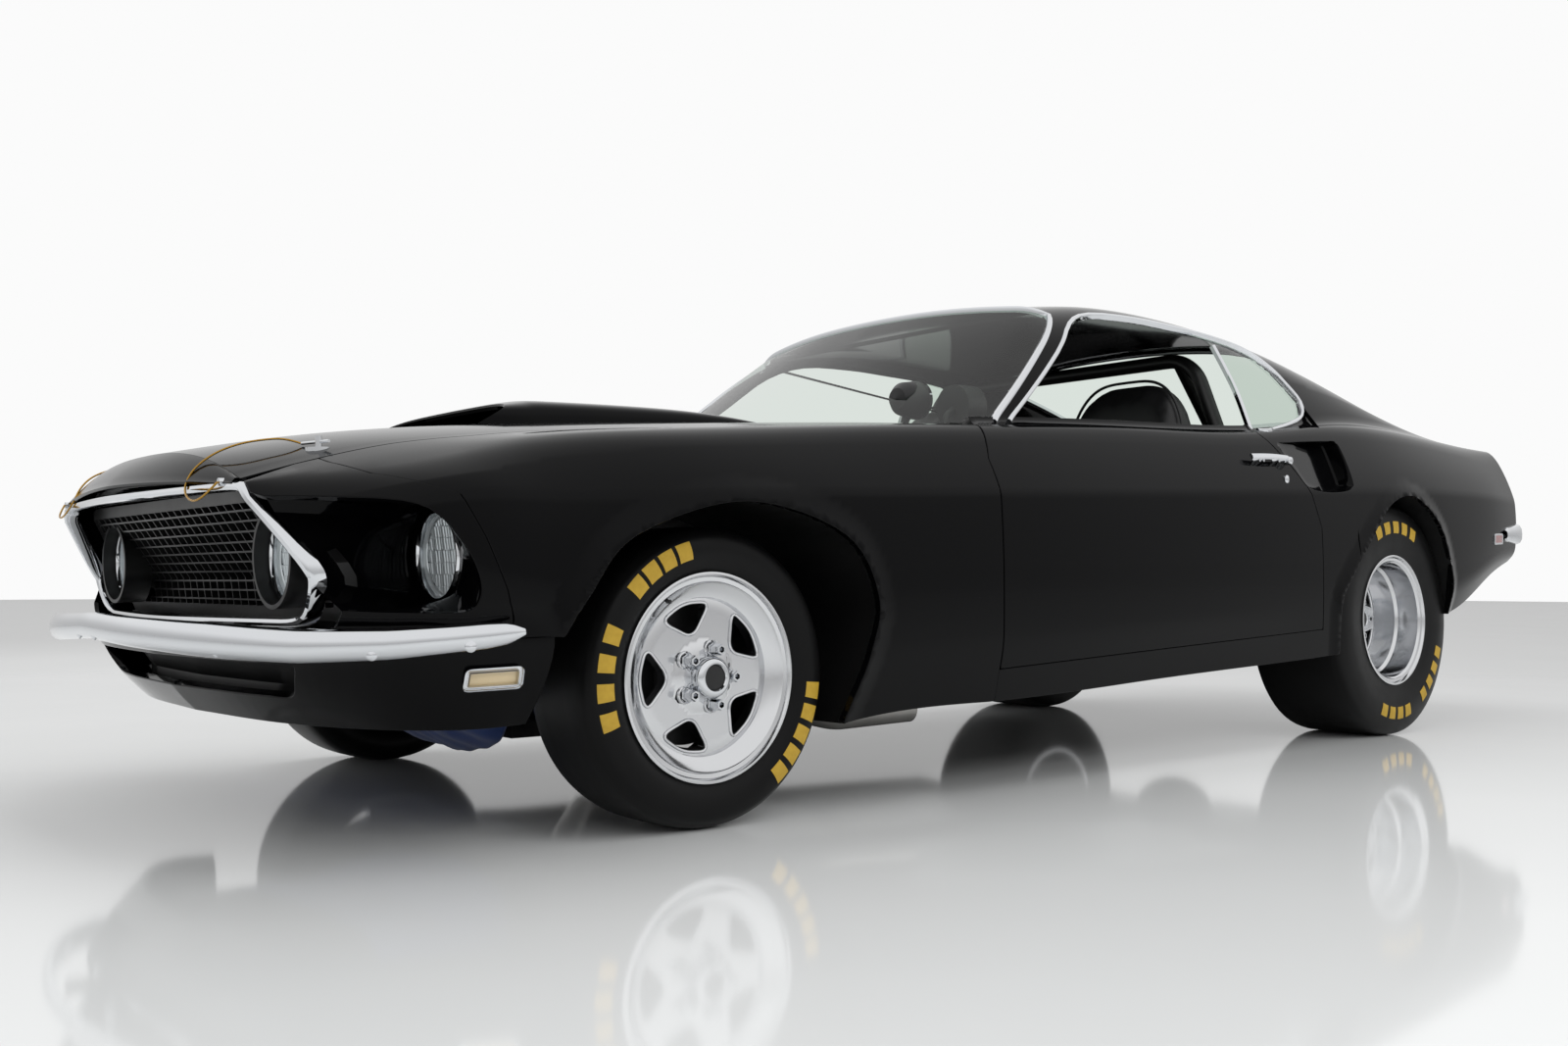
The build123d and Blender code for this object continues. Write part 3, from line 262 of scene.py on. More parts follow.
@dataclass(frozen=True)
class Spun(Finish):
    """Metal turned on a lathe: fine rings round the axle, seen in the bump."""

    def grain(self, tree: bpy.types.NodeTree, place: bpy.types.NodeSocket) -> bpy.types.NodeSocket:
        """Draws streaks a grain wide that run along the car's width."""
        stretch = add_node(tree, "ShaderNodeMapping", None, {"Scale": (1.0, 6.0, 1.0)}, {"Vector": place})
        noise = add_node(tree, "ShaderNodeTexNoise", None,
                         {"Scale": 1 / (self.grain_mm * MM), "Detail": 2.0},
                         {"Vector": stretch.outputs[0]})
        return noise.outputs["Fac"]


# Black enamel under a clear coat: deep, almost wet gloss with the least orange peel.
PAINT = Finish("black_enamel_clear_coated", "black_paint", "050506", roughness=0.08, coat=0.14,
               grain_mm=9.0, bump=0.0012, specular=0.04)
# Satin black enamel on floor, aprons and cage: soft highlights, a little dust.
SATIN = Finish("satin_black_enamel", "satin_black", "0C0C0D", "171717", roughness=0.38, rough_swing=0.1,
               grain_mm=2.5, bump=0.01)
# Hard chrome over steel: mirror bright, with the faint waves of the polished blade.
CHROME = Finish("chromium_plated_steel", "chrome", "D9DBDE", metallic=1.0, roughness=0.05,
                rough_swing=0.03, grain_mm=30.0, bump=0.0015)
# Cast aluminium, machined and polished by hand: bright with fine turning marks.
ALUMINIUM = Spun("polished_cast_aluminium", "polished_aluminium", "D6D7D9", metallic=1.0, roughness=0.13,
                 rough_swing=0.05, grain_mm=1.6, bump=0.006)
# Soft racing rubber: matt black with a slight bloom.
RUBBER = Finish("racing_tyre_rubber", "rubber", "070708", "0B0B0B", roughness=0.42, rough_swing=0.1,
                grain_mm=1.2, bump=0.03, blotch_mm=60.0, specular=0.16)
# Yellow tyre marking paint, brushed on and a little uneven.
TYRE_YELLOW = Finish("yellow_marking_paint", "rubber", "C3A034", "A9882A", roughness=0.6, rough_swing=0.1,
                     grain_mm=1.5, bump=0.05, blotch_mm=12.0)


class Level(Enum):
    """How finely a sheet is meshed, as the spacing of its points in millimetres."""

    FINE = 7.0
    PANEL = 14.0
    COARSE = 28.0


# ---- forms ----


class Spline:
    """Natural cubic spline through the rows of a table, one curve for each column."""

    def __init__(self, rows: Sequence[Sequence[float]]) -> None:
        """Fits the spline.

        Args:
            rows: Rows that start with the station; the other columns are what is interpolated.
        """
        table = np.array(sorted(rows), float)
        self.x, self.y = table[:, 0], table[:, 1:]
        count, gap = len(self.x), np.diff(self.x)
        system = np.eye(count)
        right = np.zeros_like(self.y)
        for i in range(1, count - 1):
            system[i, i - 1:i + 2] = gap[i - 1], 2 * (gap[i - 1] + gap[i]), gap[i]
            right[i] = 6 * ((self.y[i + 1] - self.y[i]) / gap[i] - (self.y[i] - self.y[i - 1]) / gap[i - 1])
        self.bend = np.linalg.solve(system, right)

    def at(self, x: np.ndarray) -> np.ndarray:
        """Gives the columns at stations x, held level past the ends."""
        x = np.clip(np.asarray(x, float), self.x[0], self.x[-1])
        i = np.clip(np.searchsorted(self.x, x) - 1, 0, len(self.x) - 2)
        gap = (self.x[i + 1] - self.x[i])[:, None]
        b = (x - self.x[i])[:, None] / gap
        a = 1 - b
        cubic = (a ** 3 - a) * self.bend[i] + (b ** 3 - b) * self.bend[i + 1]
        return a * self.y[i] + b * self.y[i + 1] + cubic * gap ** 2 / 6


class Form:
    """A smooth surface over a plane of two parameters."""

    def point(self, a: np.ndarray, b: np.ndarray) -> np.ndarray:
        """Gives the surface points at the parameters."""
        raise NotImplementedError

    def normal(self, a: np.ndarray, b: np.ndarray) -> np.ndarray:
        """Gives unit normals, pointing out, from small steps along both parameters."""
        step = 0.5
        along = self.point(a + step, b) - self.point(a - step, b)
        across = self.point(a, b + step) - self.point(a, b - step)
        normal = np.cross(across, along)
        return normal / np.maximum(np.linalg.norm(normal, axis=1), 1e-9)[:, None]


# Wheel arch lips as (x, z) points, from the rocker behind the wheel or ahead of it, over the wheel.
ARCH_FRONT = ((1118, 181), (1066, 316), (1041, 438), (1134, 573), (1391, 642), (1646, 581), (1752, 470),
              (1800, 404))
ARCH_REAR = ((-1655, 262), (-1636, 380), (-1600, 470), (-1540, 560), (-1430, 632), (-1322, 656),
             (-1190, 620), (-1047, 500), (-940, 400), (-893, 330), (-885, 181))


class BodyForm(Form):
    """Outer skin of the body, over station x and the girth b.

    The girth counts from the left rocker edge, over the middle of the top, to the right rocker edge,
    about a millimetre for each millimetre of skin.  The corners of a section are 0 rocker edge,
    1 lower crease, 2 side crease, 3 shoulder, 4 base of the glass or edge of the hood, and then the
    hood's middle on the nose, or 5 roof rail and 6 roof middle on the cabin.
    """

    # Station X, then half width and height of the rocker edge, lower crease, side crease, shoulder
    # and glass base, and the height of the hood's middle.
    LOWER = (
        (2250, 575, 430, 600, 446, 648, 560, 572, 681, 545, 690, 768),
        (2000, 800, 400, 860, 440, 868, 652, 802, 706, 597, 756, 809),
        (1850, 862, 400, 878, 440, 878, 654, 806, 742, 650, 773, 824),
        (1434, 860, 200, 884, 315, 890, 657, 793, 785, 698, 798, 846),
        (1000, 850, 181, 884, 312, 889, 659, 786, 806, 722, 815, 858),
        (600, 850, 181, 882, 310, 888, 661, 790, 822, 738, 829, 868),
        (0, 852, 181, 880, 310, 886, 663, 796, 833, 768, 838, 840),
        (-700, 868, 181, 880, 315, 886, 666, 806, 848, 766, 852, 854),
        (-1000, 872, 190, 882, 320, 886, 668, 800, 870, 752, 880, 882),
        (-1310, 868, 225, 884, 330, 887, 668, 792, 876, 730, 892, 894),
        (-1800, 832, 278, 868, 370, 868, 660, 768, 850, 702, 868, 870),
        (-2100, 806, 375, 838, 432, 842, 650, 752, 828, 690, 848, 850),
        (-2340, 772, 420, 800, 450, 806, 640, 732, 822, 688, 832, 834),
    )
    # Station X, half width and height of the roof rail, and height of the roof's middle.
    UPPER = (
        (660, 640, 1120, 1160),
        (56, 622, 1172, 1226),
        (-120, 616, 1190, 1246),
        (-500, 614, 1188, 1244),
        (-900, 622, 1140, 1200),
        (-1300, 622, 1054, 1118),
        (-1700, 604, 946, 1008),
        (-2000, 590, 876, 922),
        (-2340, 560, 836, 862),
    )
    NOSE_REACH = (135, 345, 185, 60, 700)
    CABIN_REACH = (135, 345, 185, 60, 320, 620)
    # How far each corner's rounding reaches along its sides, by corner.
    ROUND = (0, 26, 12, 46, 40, 110, 0)
    # Crown of each side between two corners.
    BULGE = (0, 5, 7, 3, 10, 0)
    HOOD_POWER = 2.5
    ROOF_POWER = 2.3
    FLARE = 9.0
    FLARE_W = 52.0

    def __init__(self, nose: bool) -> None:
        """Sets up the nose or the cabin.

        Args:
            nose: True for the surface that has the hood on top, False for the one with the roof.
        """
        self.nose = nose
        self.lower = Spline(self.LOWER)
        self.upper = Spline(self.UPPER)
        self.knots = np.cumsum([0.0, *(self.NOSE_REACH if nose else self.CABIN_REACH)])
        self.middle = float(self.knots[-1])
        lips = [smooth(lip, 8) for lip in (ARCH_FRONT, ARCH_REAR)]
        self.lips = np.array([p for lip in lips for p in dense(lip, 4.0, closed=False)])

    def corners(self, x: np.ndarray) -> np.ndarray:
        """Gives the section's corners at stations x as (station, corner, (y, z))."""
        low = self.lower.at(x)
        found = [low[:, 2 * k:2 * k + 2] for k in range(5)]
        if self.nose:
            found.append(np.stack([np.zeros(len(x)), low[:, 10]], 1))
        else:
            high = self.upper.at(x)
            found += [high[:, :2], np.stack([np.zeros(len(x)), high[:, 2]], 1)]
        return np.stack(found, 1)

    def side(self, corner: np.ndarray, k: np.ndarray, t: np.ndarray) -> np.ndarray:
        """Gives points on side k of each section, before the corners are rounded."""
        rows = np.arange(len(k))
        a, b = corner[rows, k], corner[rows, k + 1]
        out = np.stack([b[:, 1] - a[:, 1], a[:, 0] - b[:, 0]], 1)
        out /= np.maximum(np.linalg.norm(out, axis=1), 1e-6)[:, None]
        bulge = np.array(self.BULGE)[k] * 4 * t * (1 - t)
        flat = a + (b - a) * t[:, None] + out * bulge[:, None]
        last = k == corner.shape[1] - 2
        power = self.HOOD_POWER if self.nose else self.ROOF_POWER
        y = a[:, 0] * (1 - t)
        z = a[:, 1] + (b[:, 1] - a[:, 1]) * (1 - np.abs(1 - t) ** power)
        return np.where(last[:, None], np.stack([y, z], 1), flat)

    def point(self, a: np.ndarray, b: np.ndarray) -> np.ndarray:
        """Gives points of the skin, with rounded corners and flared arches."""
        x, girth = np.asarray(a, float), np.asarray(b, float)
        right = girth > self.middle
        girth = np.where(right, 2 * self.middle - girth, girth)
        corner = self.corners(x)
        sides = corner.shape[1] - 1
        s = np.clip(np.interp(girth, self.knots, np.arange(sides + 1)), 0, sides)
        k = np.clip(s.astype(int), 0, sides - 1)
        found = self.side(corner, k, s - k)
        length = np.linalg.norm(np.diff(corner, axis=1), axis=2)
        for j in range(1, sides):
            before = np.clip(self.ROUND[j] / length[:, j - 1], 0, 0.48)
            after = np.clip(self.ROUND[j] / length[:, j], 0, 0.48)
            near = (s > j - before) & (s < j + after)
            if not near.any():
                continue
            full = np.full(len(x), j)
            start = self.side(corner, full - 1, 1 - before)
            end = self.side(corner, full, after)
            u = np.clip((s - j + before) / (before + after), 0, 1)[:, None]
            curve = (1 - u) ** 2 * start + 2 * u * (1 - u) * corner[:, j] + u ** 2 * end
            found = np.where(near[:, None], curve, found)
        y = found[:, 0] + self.flare(x, found[:, 1]) * (s < 2.6)
        return np.stack([x, np.where(right, -y, y), found[:, 1]], 1)

    def flare(self, x: np.ndarray, z: np.ndarray) -> np.ndarray:
        """Gives how far the skin stands out near the wheel arches."""
        share = np.clip(1 - gap_to(np.stack([x, z], 1), self.lips) / self.FLARE_W, 0, 1)
        return self.FLARE * share ** 1.3

    def find(self, x: np.ndarray, value: np.ndarray, axis: int) -> np.ndarray:
        """Finds the girth where sections reach a height or a half width.

        Args:
            x: Stations.
            value: Heights z for axis 2, half widths y for axis 1.
            axis: 2 on the sides, 1 on the top.

        Returns:
            The girth at each station.
        """
        low = np.full(len(x), 0.0 if axis == 2 else self.knots[2])
        high = np.full(len(x), self.knots[-2] if axis == 2 else self.middle)
        for _ in range(26):
            mid = (low + high) / 2
            here = self.point(x, mid)[:, axis]
            rising = here < value if axis == 2 else here > value
            low, high = np.where(rising, mid, low), np.where(rising, high, mid)
        return (low + high) / 2

    def trace(self, points: Sequence[Sequence[float]], axis: int, closed: bool = False) -> Outline:
        """Lays a line of (x, z) or (x, y) points on the skin's left half.

        Args:
            points: Points of the line.
            axis: 2 where the second value is z, 1 where it is y.
            closed: Whether the line is a loop.

        Returns:
            The line as (x, girth) points.
        """
        line = np.array(dense(points, 20.0, closed))
        return list(zip(line[:, 0], self.find(line[:, 0], line[:, 1], axis)))

    def other(self, line: Outline) -> Outline:
        """Gives the same line on the right half, in the opposite order."""
        return [(x, 2 * self.middle - b) for x, b in reversed(line)]

    def loop(self, half: Sequence[Sequence[float]]) -> Outline:
        """Closes the left half of a loop of (x, y) points that starts and ends on the middle line."""
        line = self.trace(half, 1)
        return line + self.other(line)[1:-1]


def dense(points: Sequence[Sequence[float]], step: float, closed: bool = True) -> Outline:
    """Puts extra points on the runs of an outline so that none is longer than step."""
    made = []
    pairs = list(zip(points, list(points[1:]) + ([points[0]] if closed else [])))
    for a, b in pairs:
        count = max(1, math.ceil(math.dist(a, b) / step))
        made += [tuple(p + (q - p) * i / count for p, q in zip(a, b)) for i in range(count)]
    if not closed:
        made.append(tuple(points[-1]))
    return made


def smooth(points: Sequence[Sequence[float]], per_run: int, closed: bool = False) -> list[tuple]:
    """Runs a Catmull-Rom curve through a few points.

    Args:
        points: Points of two or three coordinates.
        per_run: Points made for each run.
        closed: Whether the curve goes back to its start.

    Returns:
        The curve's points.
    """
    p = [np.array(q, float) for q in points]
    count = len(p)
    runs = count if closed else count - 1
    made = []
    for i in range(runs):
        b, c = p[i], p[(i + 1) % count]
        a = p[i - 1] if closed or i else 2 * b - c
        d = p[(i + 2) % count] if closed or i < count - 2 else 2 * c - b
        for j in range(per_run):
            t = j / per_run
            made.append(tuple(0.5 * (2 * b + (c - a) * t + (2 * a - 5 * b + 4 * c - d) * t ** 2
                                     + (3 * b - a - 3 * c + d) * t ** 3)))
    if not closed:
        made.append(tuple(p[-1]))
    return made


def inside(points: np.ndarray, outline: Outline) -> np.ndarray:
    """Tells which points lie inside an outline, by the even-odd rule."""
    poly = np.array(outline)
    x, y = points[:, 0], points[:, 1]
    found = np.zeros(len(points), bool)
    for (x0, y0), (x1, y1) in zip(poly, np.roll(poly, -1, 0)):
        if y0 == y1:
            continue
        crosses = (y0 > y) != (y1 > y)
        found ^= crosses & (x < (x1 - x0) * (y - y0) / (y1 - y0) + x0)
    return found


def way_along(line: np.ndarray) -> np.ndarray:
    """Gives how far along a line each of its points lies."""
    return np.concatenate([[0], np.cumsum(np.linalg.norm(np.diff(line, axis=0), axis=1))])


def blunt(wave: np.ndarray, power: float) -> np.ndarray:
    """Squares up a sine or cosine: raises its size to a power and keeps its sign."""
    return np.sign(wave) * np.abs(wave) ** power


def gap_to(points: np.ndarray, outline: Outline) -> np.ndarray:
    """Gives each point's distance to the nearest point of an outline."""
    poly = np.array(outline)
    best = np.full(len(points), 1e9)
    for start in range(0, len(poly), 64):
        part = poly[None, start:start + 64]
        best = np.minimum(best, np.linalg.norm(points[:, None] - part, axis=2).min(1))
    return best


@dataclass
class Shape:
    """Faces, points and normals of a mesh in the making."""

    points: np.ndarray
    faces: list[tuple[int, ...]]
    normals: Optional[np.ndarray] = None

    def mirrored(self) -> "Shape":
        """Gives the same shape on the car's other side."""
        flip = np.array([1.0, -1.0, 1.0])
        normals = None if self.normals is None else self.normals * flip
        return Shape(self.points * flip, [f[::-1] for f in self.faces], normals)

    def flipped(self) -> "Shape":
        """Gives the same shape with its faces turned round."""
        return Shape(self.points, [f[::-1] for f in self.faces], self.normals)

    def moved(self, by: Sequence[float]) -> "Shape":
        """Gives the same shape at another place."""
        return Shape(self.points + np.array(by), self.faces, self.normals)

    def joined(self, *others: "Shape") -> "Shape":
        """Gives one shape made of this one and others."""
        parts = (self,) + others
        base = np.cumsum([0] + [len(p.points) for p in parts])
        faces = [tuple(i + int(b) for i in f) for p, b in zip(parts, base) for f in p.faces]
        normals = None
        if all(p.normals is not None for p in parts):
            normals = np.concatenate([p.normals for p in parts])
        return Shape(np.concatenate([p.points for p in parts]), faces, normals)


def trimmed(form: Form, outer: Outline, holes: Iterable[Outline] = (), level: float = Level.PANEL.value,
            roll: float = 2.0, depth: float = 16.0) -> Shape:
    """Cuts a sheet out of a form, rolls its edges over and turns them in.

    Args:
        form: Surface.
        outer: Outline in the form's parameters.
        holes: Outlines of holes.
        level: Spacing of the points.
        roll: Radius of the rolled edge.
        depth: How deep the edge is turned in; 0 leaves the edge bare.

    Returns:
        The sheet with its turned edges.
    """
    loops = [dense(loop, level) for loop in [outer, *holes]]
    border = [p for loop in loops for p in loop]
    low, high = np.min(border, 0), np.max(border, 0)
    grid = np.stack(np.meshgrid(np.arange(low[0] + level / 2, high[0], level),
                                np.arange(low[1] + level / 2, high[1], level)), -1).reshape(-1, 2)
    keep = inside(grid, loops[0])
    for hole in loops[1:]:
        keep &= ~inside(grid, hole)
    grid = grid[keep]
    grid = grid[gap_to(grid, border) > level * 0.55]
    edges, start = [], 0
    for loop in loops:
        edges += [(start + i, start + (i + 1) % len(loop)) for i in range(len(loop))]
        start += len(loop)
    plane = [Vector(p) for p in border] + [Vector(p) for p in grid]
    found, _, faces, *_ = delaunay_2d_cdt(plane, edges, [], 1, 1e-4)
    flat = np.array([tuple(p) for p in found])
    faces = np.array(faces)
    middle = flat[faces].mean(1)
    keep = inside(middle, loops[0])
    for hole in loops[1:]:
        keep &= ~inside(middle, hole)
    faces = faces[keep]
    points = form.point(flat[:, 0], flat[:, 1])
    normals = form.normal(flat[:, 0], flat[:, 1])
    first = faces[0]
    way = np.cross(points[first[1]] - points[first[0]], points[first[2]] - points[first[0]])
    if np.dot(way, normals[first[0]]) < 0:
        faces = faces[:, ::-1]
    sheet = Shape(points, [tuple(int(i) for i in f) for f in faces], normals)
    return turned_in(sheet, roll, depth) if depth else sheet


def border_loops(faces: list[tuple[int, ...]]) -> list[list[int]]:
    """Gives the closed runs of border points, in the faces' own direction."""
    count: dict[tuple[int, int], int] = {}
    for f in faces:
        for a, b in zip(f, f[1:] + f[:1]):
            count[(a, b)] = 1
    after = {a: b for a, b in count if (b, a) not in count}
    loops = []
    while after:
        start = next(iter(after))
        loop = [start]
        nxt = after.pop(start)
        while nxt != start and nxt in after:
            loop.append(nxt)
            nxt = after.pop(nxt)
        loops.append(loop)
    return loops


def turned_in(sheet: Shape, roll: float, depth: float) -> Shape:
    """Rolls every border of a sheet over and turns it in by depth."""
    points, normals, faces = [sheet.points], [sheet.normals], list(sheet.faces)
    base = len(sheet.points)
    for loop in border_loops(sheet.faces):
        ring = sheet.points[loop]
        up = sheet.normals[loop]
        along = np.roll(ring, -1, 0) - np.roll(ring, 1, 0)
        out = np.cross(along, up)
        out /= np.maximum(np.linalg.norm(out, axis=1), 1e-9)[:, None]
        previous = list(loop)
        for angle, drop in ((30, 0), (60, 0), (90, 0), (90, depth)):
            sin, cos = math.sin(math.radians(angle)), math.cos(math.radians(angle))
            points.append(ring + out * roll * sin - up * (roll * (1 - cos) + drop))
            normals.append(out * sin + up * cos)
            current = list(range(base, base + len(loop)))
            base += len(loop)
            for i in range(len(loop)):
                j = (i + 1) % len(loop)
                faces.append((previous[j], previous[i], current[i], current[j]))
            previous = current
    return Shape(np.concatenate(points), faces, np.concatenate(normals))


def swept(path: Sequence[Point], profile: Sequence[tuple[float, float]], up: Sequence[Point],
          closed: bool = False, scale: Optional[Sequence[float]] = None) -> Shape:
    """Sweeps a closed profile along a path.

    Args:
        path: Points of the path.
        profile: Loop of (outwards, upwards) points in millimetres.
        up: Upward direction at each point of the path.
        closed: Whether the path is a loop.
        scale: Size of the profile at each point.

    Returns:
        The swept body, with caps where the path is open.
    """
    line, lift = np.array(path, float), np.array(up, float)
    if closed:
        along = np.roll(line, -1, 0) - np.roll(line, 1, 0)
    else:
        along = np.gradient(line, axis=0)
    along /= np.linalg.norm(along, axis=1)[:, None]
    out = np.cross(along, lift)
    out /= np.linalg.norm(out, axis=1)[:, None]
    lift = np.cross(out, along)
    size = np.ones(len(line)) if scale is None else np.array(scale)
    rings = [line + (out * a + lift * b) * size[:, None] for a, b in profile]
    points = np.stack(rings, 1).reshape(-1, 3)
    n, m = len(line), len(profile)
    faces = []
    for i in range(n if closed else n - 1):
        k = (i + 1) % n
        faces += [(i * m + j, i * m + (j + 1) % m, k * m + (j + 1) % m, k * m + j) for j in range(m)]
    if not closed:
        faces += [tuple(range(m))[::-1], tuple((n - 1) * m + j for j in range(m))]
    return Shape(points, faces)


def spun(profile: Sequence[tuple[float, float]], centre: Point, turns: int = 96,
         full: bool = True) -> Shape:
    """Turns a (y, r) profile about a cross axle.

    Args:
        profile: Line of (y, radius) points, y measured across the car.
        centre: x and z of the axle, with y as the offset.
        turns: Steps round the axle.
        full: Whether the profile is a closed loop.

    Returns:
        The turned body.
    """
    line = np.array(profile, float)
    angle = np.arange(turns) * 2 * math.pi / turns
    x = centre[0] + line[None, :, 1] * np.sin(angle)[:, None]
    z = centre[2] + line[None, :, 1] * np.cos(angle)[:, None]
    y = np.broadcast_to(centre[1] + line[None, :, 0], x.shape)
    points = np.stack([x, y, z], -1).reshape(-1, 3)
    m = len(line)
    faces = []
    for i in range(turns):
        k = (i + 1) % turns
        faces += [(i * m + j, i * m + (j + 1) % m, k * m + (j + 1) % m, k * m + j)
                  for j in range(m if full else m - 1)]
    return Shape(points, faces)


# ---- pieces ----


def piece(name: str, shape: Shape, finish: Finish, body: str, place: Callable = raked,
          sharp_deg: float = 32.0, replaces: Sequence[str] = ()) -> bpy.types.Object:
    """Makes an object of a shape and lets it ride on a body.

    Args:
        name: Piece name.
        shape: Mesh data in millimetres.
        finish: Its finish.
        body: Body of the frame that carries it.
        place: Turns its millimetres into the car's metres.
        sharp_deg: Edges that turn more than this stay sharp.
        replaces: CAD nodes that it stands for.

    Returns:
        The object.
    """
    mesh = bpy.data.meshes.new(name)
    points = place(shape.points)
    mesh.from_pydata(points.tolist(), [], shape.faces)
    mesh.polygons.foreach_set("use_smooth", [True] * len(mesh.polygons))
    mesh.validate()
    if shape.normals is not None:
        origin = place(np.zeros((1, 3)))
        turned = place(shape.normals * 1000.0) - origin
        turned /= np.maximum(np.linalg.norm(turned, axis=1), 1e-9)[:, None]
        mesh.normals_split_custom_set_from_vertices(turned.tolist())
    elif sharp_deg < 180:
        mesh.set_sharp_from_angle(angle=math.radians(sharp_deg))
    made = placed(name, mesh)
    mesh.materials.append(finish.build())
    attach(made, body)
    if replaces:
        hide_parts(*replaces)
    LOG.info("%s: %d faces", name, len(mesh.polygons))
    return made


def pair(name: str, shape: Shape, finish: Finish, body: str = "root", replaces: Sequence[str] = (),
         **more: object) -> None:
    """Makes a left piece and its mirror image; {side} in the names becomes left and right.

    Args:
        name: Piece name without its side.
        shape: The left piece.
        finish: Finish of both.
        body: Body that carries them.
        replaces: CAD nodes that they stand for.
        more: Other arguments of `piece`.
    """
    for side, form in (("left", shape), ("right", shape.mirrored())):
        nodes = [n.format(side=side) for n in replaces]
        piece(f"{name}_{side}", form, finish, body.format(side=side), replaces=nodes, **more)


def lifted(form: BodyForm, line: Outline, rise: float) -> tuple[np.ndarray, np.ndarray]:
    """Gives the points of a line on a form, raised along the normals, and the normals."""
    flat = np.array(line)
    up = form.normal(flat[:, 0], flat[:, 1])
    return form.point(flat[:, 0], flat[:, 1]) + up * rise, up


def crowned(width: float, height: float, steps: int = 6) -> list[tuple[float, float]]:
    """Gives the half-round section of a trim strip, width across and height high."""
    half = [(width / 2 * math.cos(a), height * math.sin(a))
            for a in (math.pi * i / steps for i in range(steps + 1))]
    return half + [(-width / 2, -2.0), (width / 2, -2.0)]


# ---- painted body ----


def cowl_edge(y: float | np.ndarray) -> float | np.ndarray:
    """Gives the x at which the cowl meets the windshield, at widths y."""
    return 603 - 0.00021 * y * y


